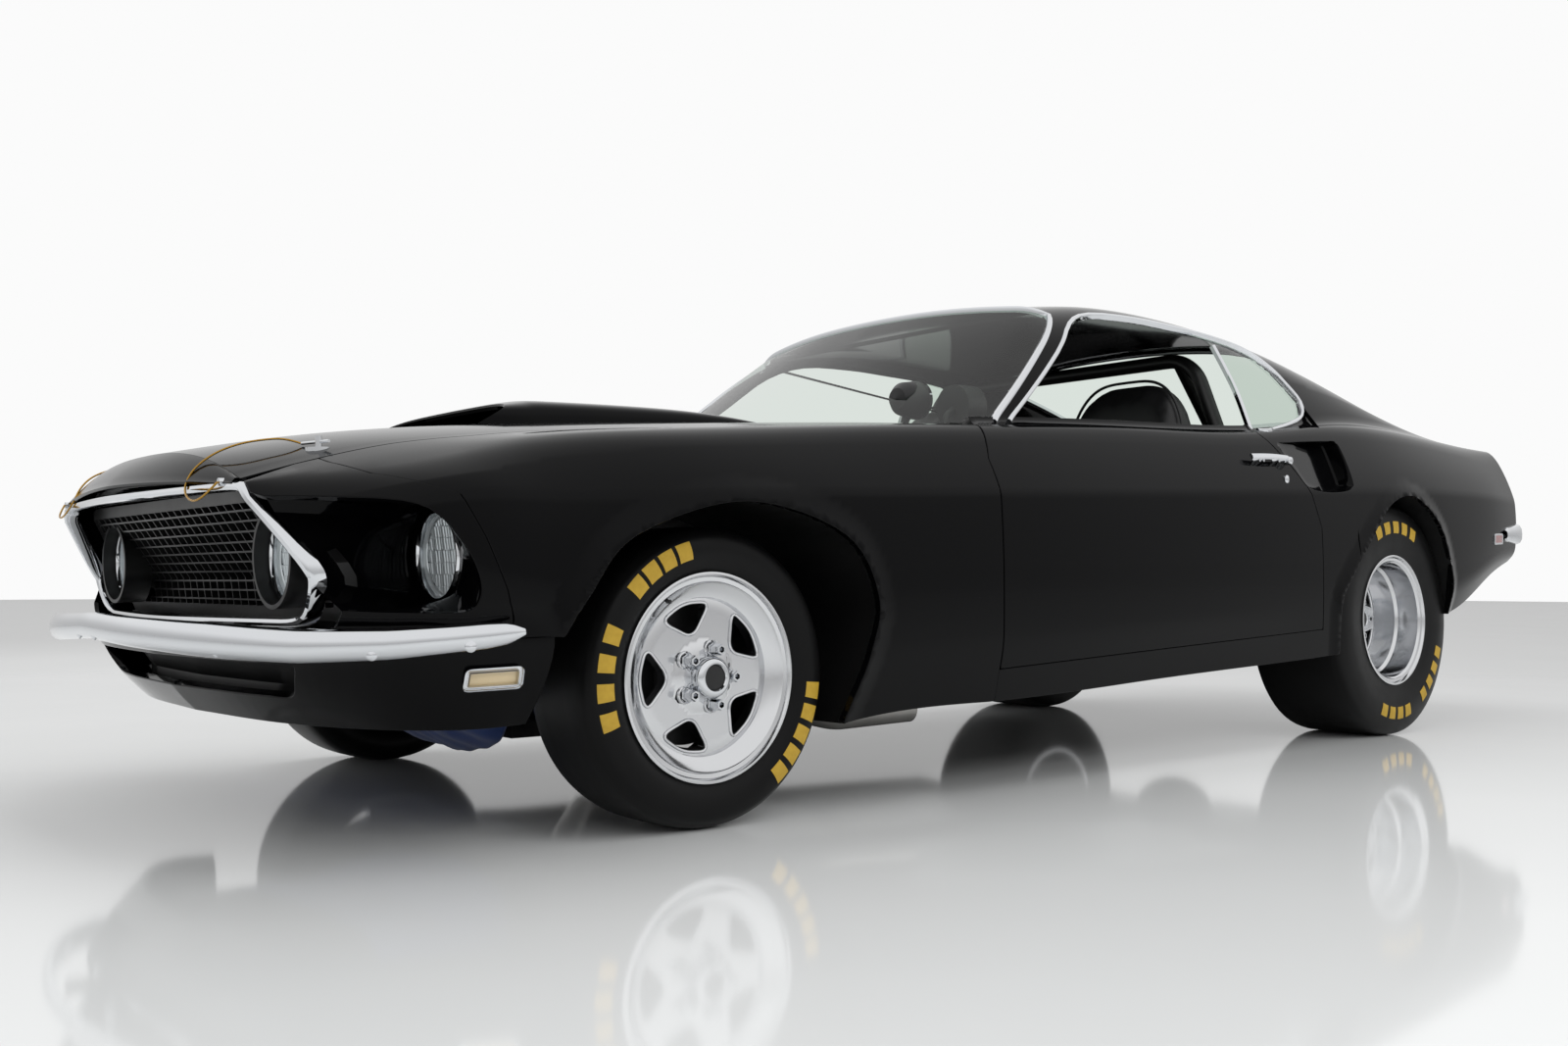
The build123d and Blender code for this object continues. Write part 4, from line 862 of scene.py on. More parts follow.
@dataclass
class BodyShell:
    """Painted skin: roof with quarters and sills, fenders, doors, hood, cowl and trunk lid.

    Attributes:
        cabin: Form of the middle and rear of the body.
        nose: Form of the front of the body.
        door: Door edge from its rear top, round the bottom, to its front top, as (x, z).
        opening: Edge of the door opening in the body, as (x, z).
        window: Side window opening from the rear of the belt to the front of the belt, as (x, z).
        hood_side: Hood edge from the cowl to the nose, as (x, y).
        windshield_side: Edge along the pillar, from the belt to the roof, as (x, z).
        windshield_top: Front edge of the roof, from the pillar to the middle, as (x, y).
        rear_glass: Left half of the rear glass opening, as (x, y).
        trunk: Left half of the trunk lid opening, as (x, y).
        tail_x: Rear end of the skin.
        scoop: Mouth of the blind air scoop in the quarter, as (x, z).
    """

    cabin: BodyForm = field(default_factory=lambda: BodyForm(nose=False))
    nose: BodyForm = field(default_factory=lambda: BodyForm(nose=True))
    door: tuple = ((-606, 838), (-640, 791), (-742, 660), (-789, 560), (-797, 264), (630, 258), (630, 660),
                   (624, 740), (576, 822))
    opening: tuple = ((634, 253), (-803, 259), (-794, 561), (-747, 662), (-645, 794), (-612, 838))
    window: tuple = ((-646, 852), (-700, 853), (-861, 881), (-955, 909), (-986, 957), (-950, 1013),
                     (-895, 1081), (-825, 1129), (-679, 1152), (-485, 1166), (-300, 1175), (-90, 1170),
                     (44, 1128), (166, 1036), (437, 842))
    hood_side: tuple = ((641, 735), (1000, 719), (1436, 695), (1848, 647), (1981, 598), (2148, 557),
                        (2236, 541))
    windshield_side: tuple = ((486, 842), (80, 1156))
    windshield_top: tuple = ((82, 606), (112, 470), (140, 250), (150, 0))
    rear_glass: tuple = ((-1000, 0), (-1006, 400), (-1024, 490), (-1080, 528), (-1400, 548), (-1720, 562),
                         (-1800, 545), (-1832, 480), (-1840, 0))
    trunk: tuple = ((-1925, 0), (-1925, 520), (-1945, 545), (-2290, 522), (-2312, 500), (-2312, 0))
    tail_x: float = -2334.0
    scoop: tuple = ((-662, 806), (-728, 817), (-974, 827), (-1004, 820), (-1014, 800), (-1008, 700),
                    (-990, 680), (-950, 668), (-846, 664), (-740, 679), (-700, 730))

    def scoop_outline(self) -> Outline:
        """Gives the mouth of the left air scoop."""
        return self.cabin.trace(smooth(self.scoop, 4, closed=True), 2, closed=True)

    def glass_outline(self) -> Outline:
        """Gives the opening of the rear glass."""
        return self.cabin.loop(smooth(self.rear_glass, 4))

    def door_outline(self) -> Outline:
        """Gives the edge of the left door, closed along the belt just below the window."""
        top = self.cabin.knots[4] - 3
        return self.cabin.trace(self.door, 2) + [(566.0, top), (-603.0, top)]

    def hood_outline(self) -> Outline:
        """Gives the edge of the hood, but for its lip."""
        left = self.nose.trace(self.hood_side, 1)
        return left + self.nose.other(left)

    def skin_outline(self) -> Outline:
        """Gives the edge of the roof, quarters and sills, all round."""
        form = self.cabin
        belt = [(self.opening[-1][0], form.knots[4])]
        left = [(self.opening[0][0], 0.0)] + form.trace(self.opening, 2) + belt
        left += form.trace(smooth(self.window, 3), 2) + form.trace(self.windshield_side, 2)
        left += form.trace(smooth(self.windshield_top, 4), 1)
        bottom = [(self.tail_x, 0.0)] + form.trace(smooth(ARCH_REAR, 5), 2)
        return left + form.other(left) + form.other(bottom) + bottom

    def scoop_pan(self) -> Shape:
        """Gives the blind air scoop let into the quarter: a floor that ramps in, and its walls."""
        edge, _ = lifted(self.cabin, self.scoop_outline(), 0.0)
        rings = []
        middle = edge.mean(0)
        front, rear = edge[:, 0].max(), edge[:, 0].min()
        depth = 1.5 + 50.0 * (front - edge[:, 0]) / (front - rear)
        sunk = edge - np.stack([0 * depth, depth, 0 * depth], 1)
        table = np.stack([edge[:, 0], edge[:, 2], np.ones(len(edge))], 1)
        plane = np.linalg.lstsq(table, sunk[:, 1], rcond=None)[0]
        for share, shrink in ((0.0, 0.0), (0.02, 0.004), (0.1, 0.012), (0.5, 0.03), (0.88, 0.05),
                              (1.0, 0.09), (1.0, 0.3), (1.0, 0.6), (1.0, 1.0)):
            layer = edge + (middle - edge) * shrink
            floor = layer[:, 0] * plane[0] + layer[:, 2] * plane[1] + plane[2]
            layer[:, 1] = edge[:, 1] + (floor - edge[:, 1]) * share
            rings.append(layer)
        return lofted(rings, closed=True)

    def build(self) -> None:
        """Makes the painted panels."""
        cabin, scoop, lid = self.cabin, self.scoop_outline(), self.cabin.loop(self.trunk)
        holes = [scoop, cabin.other(scoop), self.glass_outline(), lid]
        skin = trimmed(cabin, self.skin_outline(), holes, roll=1.6, depth=12)
        piece("roof_quarters_and_sills", skin, PAINT, "root",
              replaces=["roof_panel", "body_side_left", "body_side_right"])
        pair("quarter_scoop", self.scoop_pan(), PAINT)
        piece("trunk_lid_skin", trimmed(cabin, shrunk(lid, 4.5), depth=14), PAINT, "trunk_lid_body",
              replaces=["trunk_lid"])
        pair("door_skin", trimmed(cabin, self.door_outline(), depth=26), PAINT, "door_{side}_body",
             ["door_{side}"])
        self.build_nose()

    def build_nose(self) -> None:
        """Makes fenders, hood and cowl."""
        form = self.nose
        gap = [(x, y + 5) for x, y in self.hood_side[:-2]] + [(2105, 574)]
        fender = form.trace([(580, 752), (584, 744), (636, 742)], 1)
        fender += form.trace(gap, 1)
        fender += form.trace([(2105, 722), (2086, 700), (1985, 655), (1945, 580), (1908, 493),
                              (1884, 405)], 2)
        fender += form.trace(smooth(ARCH_FRONT, 6)[::-1], 2)
        fender += [(637.0, 0.0)] + form.trace([(637, 253), (637, 660), (629, 742), (584, 822)], 2)
        pair("fender_skin", trimmed(form, fender, depth=14), PAINT, replaces=["fender_{side}"])
        piece("hood_skin", trimmed(form, self.hood_outline(), depth=16), PAINT, "hood",
              replaces=["hood_panel"])
        piece("hood_lip", self.hood_lip(), PAINT, "hood")
        cowl = form.trace([(636, 736), (566, 744), (500, 740)], 1)
        cowl += form.trace([(cowl_edge(y), y) for y in range(700, -1, -50)], 1)
        cowl = cowl + form.other(cowl)
        piece("cowl_skin", trimmed(form, cowl, depth=8), PAINT, "root", replaces=["cowl_panel"])

    def hood_lip(self) -> Shape:
        """Gives the blunt front of the hood: a sloped face, rolled over and turned under."""
        form, count = self.nose, 61
        start = form.trace([self.hood_side[-1]], 1, closed=False)[0][1]
        girth = np.linspace(start, 2 * form.middle - start, count)
        top = form.point(np.full(count, self.hood_side[-1][0] + 1.5), girth)
        edge = top.copy()
        edge[:, 0] = 2250 + bow(top[:, 1])
        edge[:, 2] = 708 - 20 * np.abs(top[:, 1] / 541) ** 2
        edge[:, 2] = np.minimum(edge[:, 2], top[:, 2] - 2)
        rings = [top + (0, 0, -0.6)]
        for share in (0.08, 0.3, 0.55, 0.8, 0.93):
            swell = np.array([0.0, 0.0, 5.0 * math.sin(math.pi * share)])
            rings.append(top + (edge - top) * share + swell)
        rings += [edge + step for step in ((1.0, 0, 1.0), (0, 0, 0), (-2.0, 0, -4.0), (-6.0, 0, -5.0),
                                           (-60.0, 0, -3.0))]
        return lofted(rings, closed=False)


def shrunk(loop: Outline, by: float) -> Outline:
    """Draws a loop in towards its inside, by an even distance."""
    points = np.array(loop, float)
    ahead, behind = np.roll(points, -1, 0), np.roll(points, 1, 0)
    along = ahead - behind
    length = np.maximum(np.linalg.norm(along, axis=1), 1e-9)[:, None]
    inward = np.stack([-along[:, 1], along[:, 0]], 1) / length
    area = np.sum(points[:, 0] * ahead[:, 1] - ahead[:, 0] * points[:, 1])
    return [tuple(p) for p in points + inward * by * (1 if area > 0 else -1)]


def lofted(rings: Sequence[np.ndarray], closed: bool) -> Shape:
    """Joins rings of as many points into one surface.

    Args:
        rings: Rings of points, in order.
        closed: Whether each ring is a loop.

    Returns:
        The surface.
    """
    count = len(rings[0])
    faces = []
    for i in range(len(rings) - 1):
        for j in range(count if closed else count - 1):
            k = (j + 1) % count
            faces.append((i * count + j, i * count + k, (i + 1) * count + k, (i + 1) * count + j))
    return Shape(np.concatenate(rings), faces)


def rounded(points: Sequence[Sequence[float]], reach: float, steps: int = 5) -> list[tuple]:
    """Rounds the corners of a loop.

    Args:
        points: Corners in two or three coordinates.
        reach: How far each rounding reaches along its sides.
        steps: Runs of each rounding.

    Returns:
        The loop's points.
    """
    p = [np.array(q, float) for q in points]
    made = []
    for a, b, c in zip(p[-1:] + p[:-1], p, p[1:] + p[:1]):
        back, on = np.linalg.norm(a - b), np.linalg.norm(c - b)
        start, end = b + (a - b) * min(reach / back, 0.48), b + (c - b) * min(reach / on, 0.48)
        for i in range(steps + 1):
            u = i / steps
            made.append(tuple((1 - u) ** 2 * start + 2 * u * (1 - u) * b + u ** 2 * end))
    return made


def turned(shape: Shape, euler_deg: Point, centre: Point) -> Shape:
    """Turns a shape about the origin and then moves it."""
    matrix = np.array(Euler([math.radians(a) for a in euler_deg]).to_matrix())
    return Shape(shape.points @ matrix.T + np.array(centre), shape.faces)


@dataclass
class Inset(Form):
    """A form sunk below another one.

    Attributes:
        base: The other form.
        depth: How far below it lies.
    """

    base: Form
    depth: float

    def point(self, a: np.ndarray, b: np.ndarray) -> np.ndarray:
        """Gives points of the sunk form."""
        return self.base.point(a, b) - self.base.normal(a, b) * self.depth


# ---- more finishes ----


@dataclass(frozen=True)
class Pane(Finish):
    """Clear plate: lets light straight through, slightly tinted, and mirrors at its skin.

    Attributes:
        clear: sRGB hex colour of the light that comes through.
    """

    clear: str = "DDE5DF"

    def dress(self, tree: bpy.types.NodeTree, shader: bpy.types.Node) -> None:
        """Mixes straight-through light with the gloss of the skin."""
        out = tree.nodes["Material Output"]
        through = add_node(tree, "ShaderNodeBsdfTransparent", values={"Color": linear(self.clear)})
        gloss = add_node(tree, "ShaderNodeBsdfGlossy", values={"Roughness": 0.02})
        edge = add_node(tree, "ShaderNodeFresnel", values={"IOR": 1.45})
        side = add_node(tree, "ShaderNodeNewGeometry")
        front = add_node(tree, "ShaderNodeMath", {"operation": "SUBTRACT"}, {0: 1.0},
                         {1: side.outputs["Backfacing"]})
        skin = add_node(tree, "ShaderNodeMath", {"operation": "MULTIPLY"},
                        links={0: edge.outputs[0], 1: front.outputs[0]})
        mix = add_node(tree, "ShaderNodeMixShader", links={0: skin.outputs[0], 1: through.outputs[0],
                                                           2: gloss.outputs[0]})
        tree.links.new(mix.outputs[0], out.inputs["Surface"])


# Laminated glass: nearly clear, slightly grey-green, bright at its flat angles.
GLASS = Pane("laminated_window_glass", "glass", "C9D2CB", roughness=0.03, alpha=0.35)
# Pressed lamp glass: clear with a faint blue, over its bright bowl.
LAMP_GLASS = Pane("pressed_lamp_glass", "lamp_glass", "DDE6EA", roughness=0.04, alpha=0.4, clear="F6F9FA")
# Bright bowl inside a sealed lamp: evaporated aluminium on glass.
LAMP_BOWL = Finish("evaporated_aluminium_reflector", "lamp_glass", "F4F6F7", metallic=0.5, roughness=0.22,
                   rough_swing=0.04, grain_mm=8.0, bump=0.02)
# Moulded red acrylic: deep red with a wet skin.
RED_LENS = Finish("moulded_red_acrylic", "red_lens", "7A0A0C", "8E1012", roughness=0.12, coat=1.0,
                  grain_mm=6.0, bump=0.05)
# Moulded amber acrylic: pale orange, slightly milky.
AMBER_LENS = Finish("moulded_amber_acrylic", "amber_lens", "E3CFA8", "D8BF8E", roughness=0.18, coat=1.0,
                    grain_mm=5.0, bump=0.05)
# Embossed seat vinyl: black, with a fine leather grain and soft highlights.
VINYL = Finish("embossed_seat_vinyl", "black_vinyl", "131314", "1A1A1B", roughness=0.42, rough_swing=0.06,
               grain_mm=2.2, bump=0.06)
# Injection moulded trim: black with a fine pebble.
MOULDED = Finish("moulded_black_trim", "black_plastic", "101011", "161617", roughness=0.45,
                 rough_swing=0.05, grain_mm=1.4, bump=0.05)
# Cast and pressed steel of the running gear: dark grey, rough, lightly oiled.
CAST = Finish("oiled_cast_steel", "cast_steel", "3A3A3C", "2C2B2A", metallic=0.75, roughness=0.5,
              rough_swing=0.12, grain_mm=3.0, bump=0.06)
# Exhaust tube: mild steel with an aluminium coat, satin and a little blued.
TUBE = Finish("aluminised_steel_tube", "cast_steel", "A9A8A5", "8A8783", metallic=0.9, roughness=0.34,
              rough_swing=0.1, grain_mm=2.0, bump=0.03)
# Blue absorbent cloth: open plain weave, threads 3 mm apart, dull.
BLUE_CLOTH = Woven("blue_absorbent_cloth", "blue_cloth", "10306B", "1B458D", roughness=0.85,
                   rough_swing=0.08, grain_mm=3.0, bump=0.18, sheen=0.3, blotch_mm=40.0)
# Braided brass cable in a clear sleeve: golden, finely ribbed.
BRASS = Finish("braided_brass_cable", "brass_cable", "B98F3E", "A47C30", metallic=0.9, roughness=0.28,
               rough_swing=0.06, grain_mm=1.2, bump=0.15, blotch_mm=6.0)
# Extruded black rubber of seals and bump strips.
SEAL = Finish("extruded_rubber_seal", "rubber", "0B0B0C", roughness=0.5, rough_swing=0.08, grain_mm=1.5,
              bump=0.03)


# ---- studio ----


@dataclass
class Studio:
    """Camera, soft lights, pale floor and white surroundings.

    Attributes:
        place: Camera position in metres.
        yaw_deg: Heading of the camera, from -X towards -Y.
        pitch_deg: How far it looks up.
        roll_deg: Its roll.
        lens_mm: Focal length over a 36 mm frame.
    """

    place: Point = (3.1442, 3.0286, 0.4829)
    yaw_deg: float = 49.48
    pitch_deg: float = 2.44
    roll_deg: float = 0.11
    lens_mm: float = 32.55

    def camera(self) -> None:
        """Sets up the camera."""
        yaw, pitch, roll = (math.radians(a) for a in (self.yaw_deg, self.pitch_deg, self.roll_deg))
        level = math.cos(pitch)
        ahead = Vector((-math.cos(yaw) * level, -math.sin(yaw) * level, math.sin(pitch)))
        right = ahead.cross(Vector((0, 0, 1))).normalized()
        up = right.cross(ahead)
        sin, cos = math.sin(roll), math.cos(roll)
        right, up = right * cos + up * sin, up * cos - right * sin
        data = bpy.data.cameras.new("camera")
        data.lens, data.sensor_width, data.sensor_fit = self.lens_mm, 36.0, "HORIZONTAL"
        data.clip_end = 200.0
        made = placed("camera", data)
        rows = [(right[i], up[i], -ahead[i]) for i in range(3)]
        made.rotation_euler = Matrix(rows).to_euler()
        made.location = self.place
        bpy.context.scene.camera = made

    def lamp(self, name: str, place: Point, size: tuple[float, float], watts: float) -> None:
        """Hangs one long soft lamp that shines at the middle of the car and isn't seen in gloss."""
        data = bpy.data.lights.new(name, "AREA")
        data.shape, data.size, data.size_y, data.energy = "RECTANGLE", *size, watts
        made = placed(name, data)
        made.location = place
        made.visible_glossy = False
        made.rotation_euler = (Vector((0, 0, 0.4)) - Vector(place)).to_track_quat("-Z", "Y").to_euler()

    def surroundings(self) -> None:
        """Makes the world: white to the eye and in gloss, softer as a source of light.

        Gloss gets less of the white toward the horizon, as from a room with darker walls, which keeps
        the upright sides of the paint deep.
        """
        world = bpy.data.worlds.new("white_studio")
        world.use_nodes = True
        tree = world.node_tree
        soft = tree.nodes["Background"]
        soft.inputs["Color"].default_value = linear("FFFFFF")
        soft.inputs["Strength"].default_value = 0.5
        white = add_node(tree, "ShaderNodeBackground",
                         values={"Color": linear("FBFBFB"), "Strength": 1.0})
        path = add_node(tree, "ShaderNodeLightPath")
        way = add_node(tree, "ShaderNodeTexCoord")
        height = add_node(tree, "ShaderNodeSeparateXYZ", links={0: way.outputs["Generated"]})
        fall = add_node(tree, "ShaderNodeMapRange", {"interpolation_type": "SMOOTHSTEP"},
                        {"From Min": 0.0, "From Max": 0.42, "To Min": 0.4, "To Max": 0.0},
                        {"Value": height.outputs["Z"]})
        lost = add_node(tree, "ShaderNodeMath", {"operation": "MULTIPLY"},
                        links={0: fall.outputs[0], 1: path.outputs["Is Glossy Ray"]})
        kept = add_node(tree, "ShaderNodeMath", {"operation": "SUBTRACT"}, {0: 1.0}, {1: lost.outputs[0]})
        tree.links.new(kept.outputs[0], white.inputs["Strength"])
        seen = add_node(tree, "ShaderNodeMath", {"operation": "MAXIMUM"},
                        links={0: path.outputs["Is Camera Ray"], 1: path.outputs["Is Transmission Ray"]})
        both = add_node(tree, "ShaderNodeMath", {"operation": "MAXIMUM"},
                        links={0: seen.outputs[0], 1: path.outputs["Is Glossy Ray"]})
        mix = add_node(tree, "ShaderNodeMixShader", links={0: both.outputs[0], 1: soft.outputs[0],
                                                           2: white.outputs[0]})
        tree.links.new(mix.outputs[0], tree.nodes["World Output"].inputs["Surface"])
        bpy.context.scene.world = world

    def floor(self) -> None:
        """Lays the pale polished floor."""
        mesh = bpy.data.meshes.new("studio_floor")
        half = 40.0
        corners = [(-half, -half, 0), (half, -half, 0), (half, half, 0), (-half, half, 0)]
        mesh.from_pydata(corners, [], [(0, 1, 2, 3)])
        made = placed("studio_floor", mesh)
        finish = Finish("polished_pale_floor", "", "E2E4E4", "E8E9E9", roughness=0.07, rough_swing=0.02,
                        grain_mm=60.0, blotch_mm=900.0)
        mesh.materials.append(finish.build())

    def build(self) -> None:
        """Sets up the whole studio."""
        bpy.context.scene.view_settings.view_transform = "Standard"
        self.camera()
        self.surroundings()
        self.floor()
        self.lamp("overhead_lamp", (0.2, 0.0, 5.0), (12.0, 3.0), 260.0)
        self.lamp("left_lamp", (0.0, 7.5, 4.6), (16.0, 2.4), 300.0)
        self.lamp("right_lamp", (0.0, -7.5, 4.6), (16.0, 2.4), 220.0)


# ---- lanyards ----


@dataclass
class Lanyards:
    """Brass cables that tie the hood clips to the hood's front face.

    Attributes:
        route: Control points of the left cable, from its clip to its eyelet.
        thick: Diameter.
        length: Length of one cable; not used.
    """

    route: tuple = ((2091.5, 453.1, 767.4), (2112, 435, 778), (2150, 420, 776), (2195, 415, 767),
                    (2234, 403, 750), (2262, 381, 724), (2276, 374, 696), (2284, 396, 674),
                    (2286, 438, 660), (2283, 475, 664), (2272, 497, 680), (2263.3, 505, 692))
    thick: float = 4.0
    length: float = 391.0

    def build(self) -> None:
        """Makes both cables."""
        for side, way in (("left", 1.0), ("right", -1.0)):
            points = raked(np.array(self.route) * (1.0, way, 1.0))
            curve = bpy.data.curves.new(f"lanyard_cable_{side}", "CURVE")
            curve.dimensions = "3D"
            curve.bevel_depth = self.thick / 2 * MM
            curve.bevel_resolution = 3
            curve.use_fill_caps = True
            spline = curve.splines.new("NURBS")
            spline.points.add(len(points) - 1)
            for knot, place in zip(spline.points, points):
                knot.co = (*place, 1.0)
            spline.order_u = 3
            spline.use_endpoint_u = True
            spline.resolution_u = 8
            made = placed(f"lanyard_cable_{side}", curve)
            curve.materials.append(BRASS.build())
            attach(made, "hood")
            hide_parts(f"lanyard_{side}")
            LOG.info("lanyard cable %s", side)


# ---- nose ----


def bow(y: np.ndarray) -> np.ndarray:
    """Gives how far the nose stands forward of a flat front, at widths y: it is pointed in plan."""
    return 60.0 * np.clip(1 - (np.abs(y) / 560.0) ** 1.5, 0, 1)


def wrapped(half: Sequence[Sequence[float]]) -> np.ndarray:
    """Gives a smooth (x, y) line from its left end to its right one, from a half that starts mid car."""
    left = smooth(half, 6)
    return np.array([(x, y) for x, y in reversed(left)] + [(x, -y) for x, y in left[1:]])


@dataclass
class FrontEnd:
    """Grille surround, four lamps and front bumper.

    Attributes:
        surround: Upper left half of the grille opening, as (y, z).
        slope: x of the grille's face, by height z, from top to bottom.
        bumper: Front edge of the bumper, as (x, y).
        rise: Middle height and own height of the bumper by half width, as (y, middle, height).
        lamps: Centre of each left lamp.
        lamp_r: Outer radius of a lamp's bezel.
    """

    surround: tuple = ((545, 684), (572, 677), (650, 545), (646, 500), (592, 440))
    slope: tuple = ((2150, 430), (2160, 520), (2244, 660), (2250, 692))
    bumper: tuple = ((2362.0, 0), (2351, 250), (2300, 500), (2216, 700), (2086, 834), (1990, 878),
                     (1920, 897), (1888, 902))
    rise: tuple = ((0, 434, 52), (330, 423, 58), (500, 416, 62), (700, 407, 58), (825, 407, 52),
                   (868, 411, 49), (890, 414, 46), (897, 416, 40), (900, 417, 31), (902, 418, 12))
    lamps: tuple = ((1936, 698, 552), (2126, 487, 556))
    lamp_r: float = 84.0

    def face_x(self, z: np.ndarray) -> np.ndarray:
        """Gives the x of the grille's face at heights z."""
        table = np.array(self.slope)
        return np.interp(z, table[:, 1], table[:, 0])

    def surround_ring(self) -> Shape:
        """Gives the bright rim round the grille opening."""
        half = list(self.surround)
        loop = [*half, *[(-y, z) for y, z in reversed(half)]]
        flat = np.array(dense(rounded(loop, 80.0, 7), 30.0))
        path = np.stack([self.face_x(flat[:, 1]) - 4 + bow(flat[:, 0]), flat[:, 0], flat[:, 1]], 1)
        profile = [(-9, -22), (-9, -2), (-6, 4), (0, 7), (6, 4), (9, -2), (9, -22)]
        return swept(path, profile, [(1.0, 0.0, 0.0)] * len(path), closed=True)

    def blade_at(self, y: np.ndarray) -> tuple[np.ndarray, np.ndarray]:
        """Gives the middle height and the height of the blade at half widths y."""
        at, middle, high = np.array(self.rise).T
        return np.interp(np.abs(y), at, middle), np.interp(np.abs(y), at, high)

    def blade(self) -> Shape:
        """Gives the chromed bumper blade with its folded edges."""
        line = wrapped(self.bumper)
        middle, high = self.blade_at(line[:, 1])
        path = np.stack([line[:, 0], line[:, 1], middle], 1)
        face = [(-26, 29), (-16, 28), (-8, 23), (-3, 14), (0, 3), (-1, -8), (-5, -18), (-12, -25),
                (-20, -28)]
        profile = face + [(-22, -25), (-14, -18), (-8, -4), (-8, 6), (-14, 18), (-26, 24)]
        return swept(path, [(-a, b) for a, b in profile[::-1]], [(0, 0, 1)] * len(path), scale=high / 57)

    def bolts(self) -> Shape:
        """Gives the round-headed bolts of the blade."""
        made = []
        line = np.array(smooth(self.bumper, 6))
        head = spun([(4.5, 0.5), (3.6, 5), (1.5, 8.5), (0, 10), (-2, 10)], (0, 0, 0), 20, full=False)
        for y in (-880, -799, -526, -52, 52, 526, 799, 880):
            k = int(np.argmin(np.abs(line[:, 1] - abs(y))))
            along = line[k + 1] - line[k - 1]
            turn = -90 + math.degrees(math.atan2(-along[0], along[1])) * (1 if y > 0 else -1)
            middle, high = self.blade_at(np.array([float(y)]))
            spot = (float(line[k, 0]) - 9, y, float(middle[0] - high[0] * 0.3))
            made.append(turned(head, (0, 0, turn), spot))
        return made[0].joined(*made[1:])

    def flutes(self, radius: float) -> Shape:
        """Gives the fluted mirror that shows through a lamp's glass: upright ribs in stepped rows."""
        row_high, rib_wide, spacing = 22.0, 10.0, 1.5
        side = np.arange(-radius, radius + 1e-6, spacing)
        x, z = np.meshgrid(side, side)
        row = np.floor((z + 100) / row_high)
        ribs = np.abs(np.sin(math.pi * (x + 3.0 * (row % 2)) / rib_wide)) * 2.6
        step = 2.0 * (((z + 100) / row_high) % 1.0)
        grid = np.stack([x, ribs + step - 12.0 + (x * x + z * z) * 0.0004, z], -1)
        count = len(side)
        faces = []
        for i in range(count - 1):
            for j in range(count - 1):
                if math.hypot(side[i] + spacing / 2, side[j] + spacing / 2) < radius:
                    k = i * count + j
                    faces.append((k, k + count, k + count + 1, k + 1))
        return Shape(grid.reshape(-1, 3), faces)

    def lamp(self, number: int, spot: Point) -> None:
        """Makes a sealed lamp on both sides: bezel ring, bowl, fluted mirror and domed glass.

        Args:
            number: 0 for the outer lamp, 1 for the inner one.
            spot: Centre of the left one.
        """
        r, glass_r = self.lamp_r, self.lamp_r - 10
        ring = [(2, r), (10, r - 1), (14, r - 4), (14, r - 8), (8, r - 11), (2, r - 11), (-12, r - 9),
                (-12, r)]
        bowl = [(2, r - 11), (-4, r - 12), (-6, r - 14)]
        dome = [(4 + 9 * (1 - (q / glass_r) ** 2), q) for q in (70, 62, 54, 46, 38, 30, 22, 14, 7, 0.5)]
        lens = spun([(4, glass_r), *dome], (0, 0, 0), 96, full=False)
        for part, shape, finish in (("bezel", spun(ring, (0, 0, 0), 72), CHROME),
                                    ("bowl", spun(bowl, (0, 0, 0), 72, full=False), LAMP_BOWL),
                                    ("flutes", self.flutes(r - 12), LAMP_BOWL),
                                    ("glass", lens, LAMP_GLASS)):
            pair(f"{('outer', 'inner')[number]}_lamp_{part}", turned(shape, (0, 0, -90), spot), finish,
                 replaces=["headlamps"] if (part, number) == ("bezel", 0) else [])

    def build(self) -> None:
        """Makes the pieces of the nose."""
        piece("grille_rim", self.surround_ring(), CHROME, "root", replaces=["grille_surround"])
        piece("front_bumper_blade", self.blade(), CHROME, "root", replaces=["front_bumper"])
        piece("front_bumper_bolts", self.bolts(), CHROME, "root")
        for number, spot in enumerate(self.lamps):
            self.lamp(number, spot)


@dataclass
class RearBumper:
    """Chromed rear bumper: a blade that wraps round both corners.

    Attributes:
        path: Its left half as (x, y), from the middle.
        heights: Height of the blade by half width, as (y, height).
        level: Height of its middle.
    """

    path: tuple = ((-2398, 0), (-2394, 300), (-2386, 560), (-2378, 720), (-2362, 794), (-2326, 830),
                   (-2270, 842), (-2200, 847), (-2160, 849))
    heights: tuple = ((0, 84), (700, 82), (830, 76), (843, 66), (848, 52), (849, 30))
    level: float = 520.0

    def build(self) -> None:
        """Makes the blade."""
        line = wrapped(self.path)
        table = np.array(self.heights, float)
        high = np.interp(np.abs(line[:, 1]), table[:, 0], table[:, 1])
        path = np.stack([line[:, 0], line[:, 1], np.full(len(line), self.level)], 1)
        face = [(-22, 28), (-12, 28), (-4, 24), (1, 14), (2, 0), (1, -14), (-4, -24), (-12, -28),
                (-22, -28)]
        profile = face + [(-18, -24), (-9, -20), (-4, -8), (-4, 8), (-9, 20), (-18, 24)]
        blade = swept(path, profile, [(0, 0, 1)] * len(path), scale=high / 57)
        piece("rear_bumper_blade", blade, CHROME, "root", replaces=["rear_bumper"])


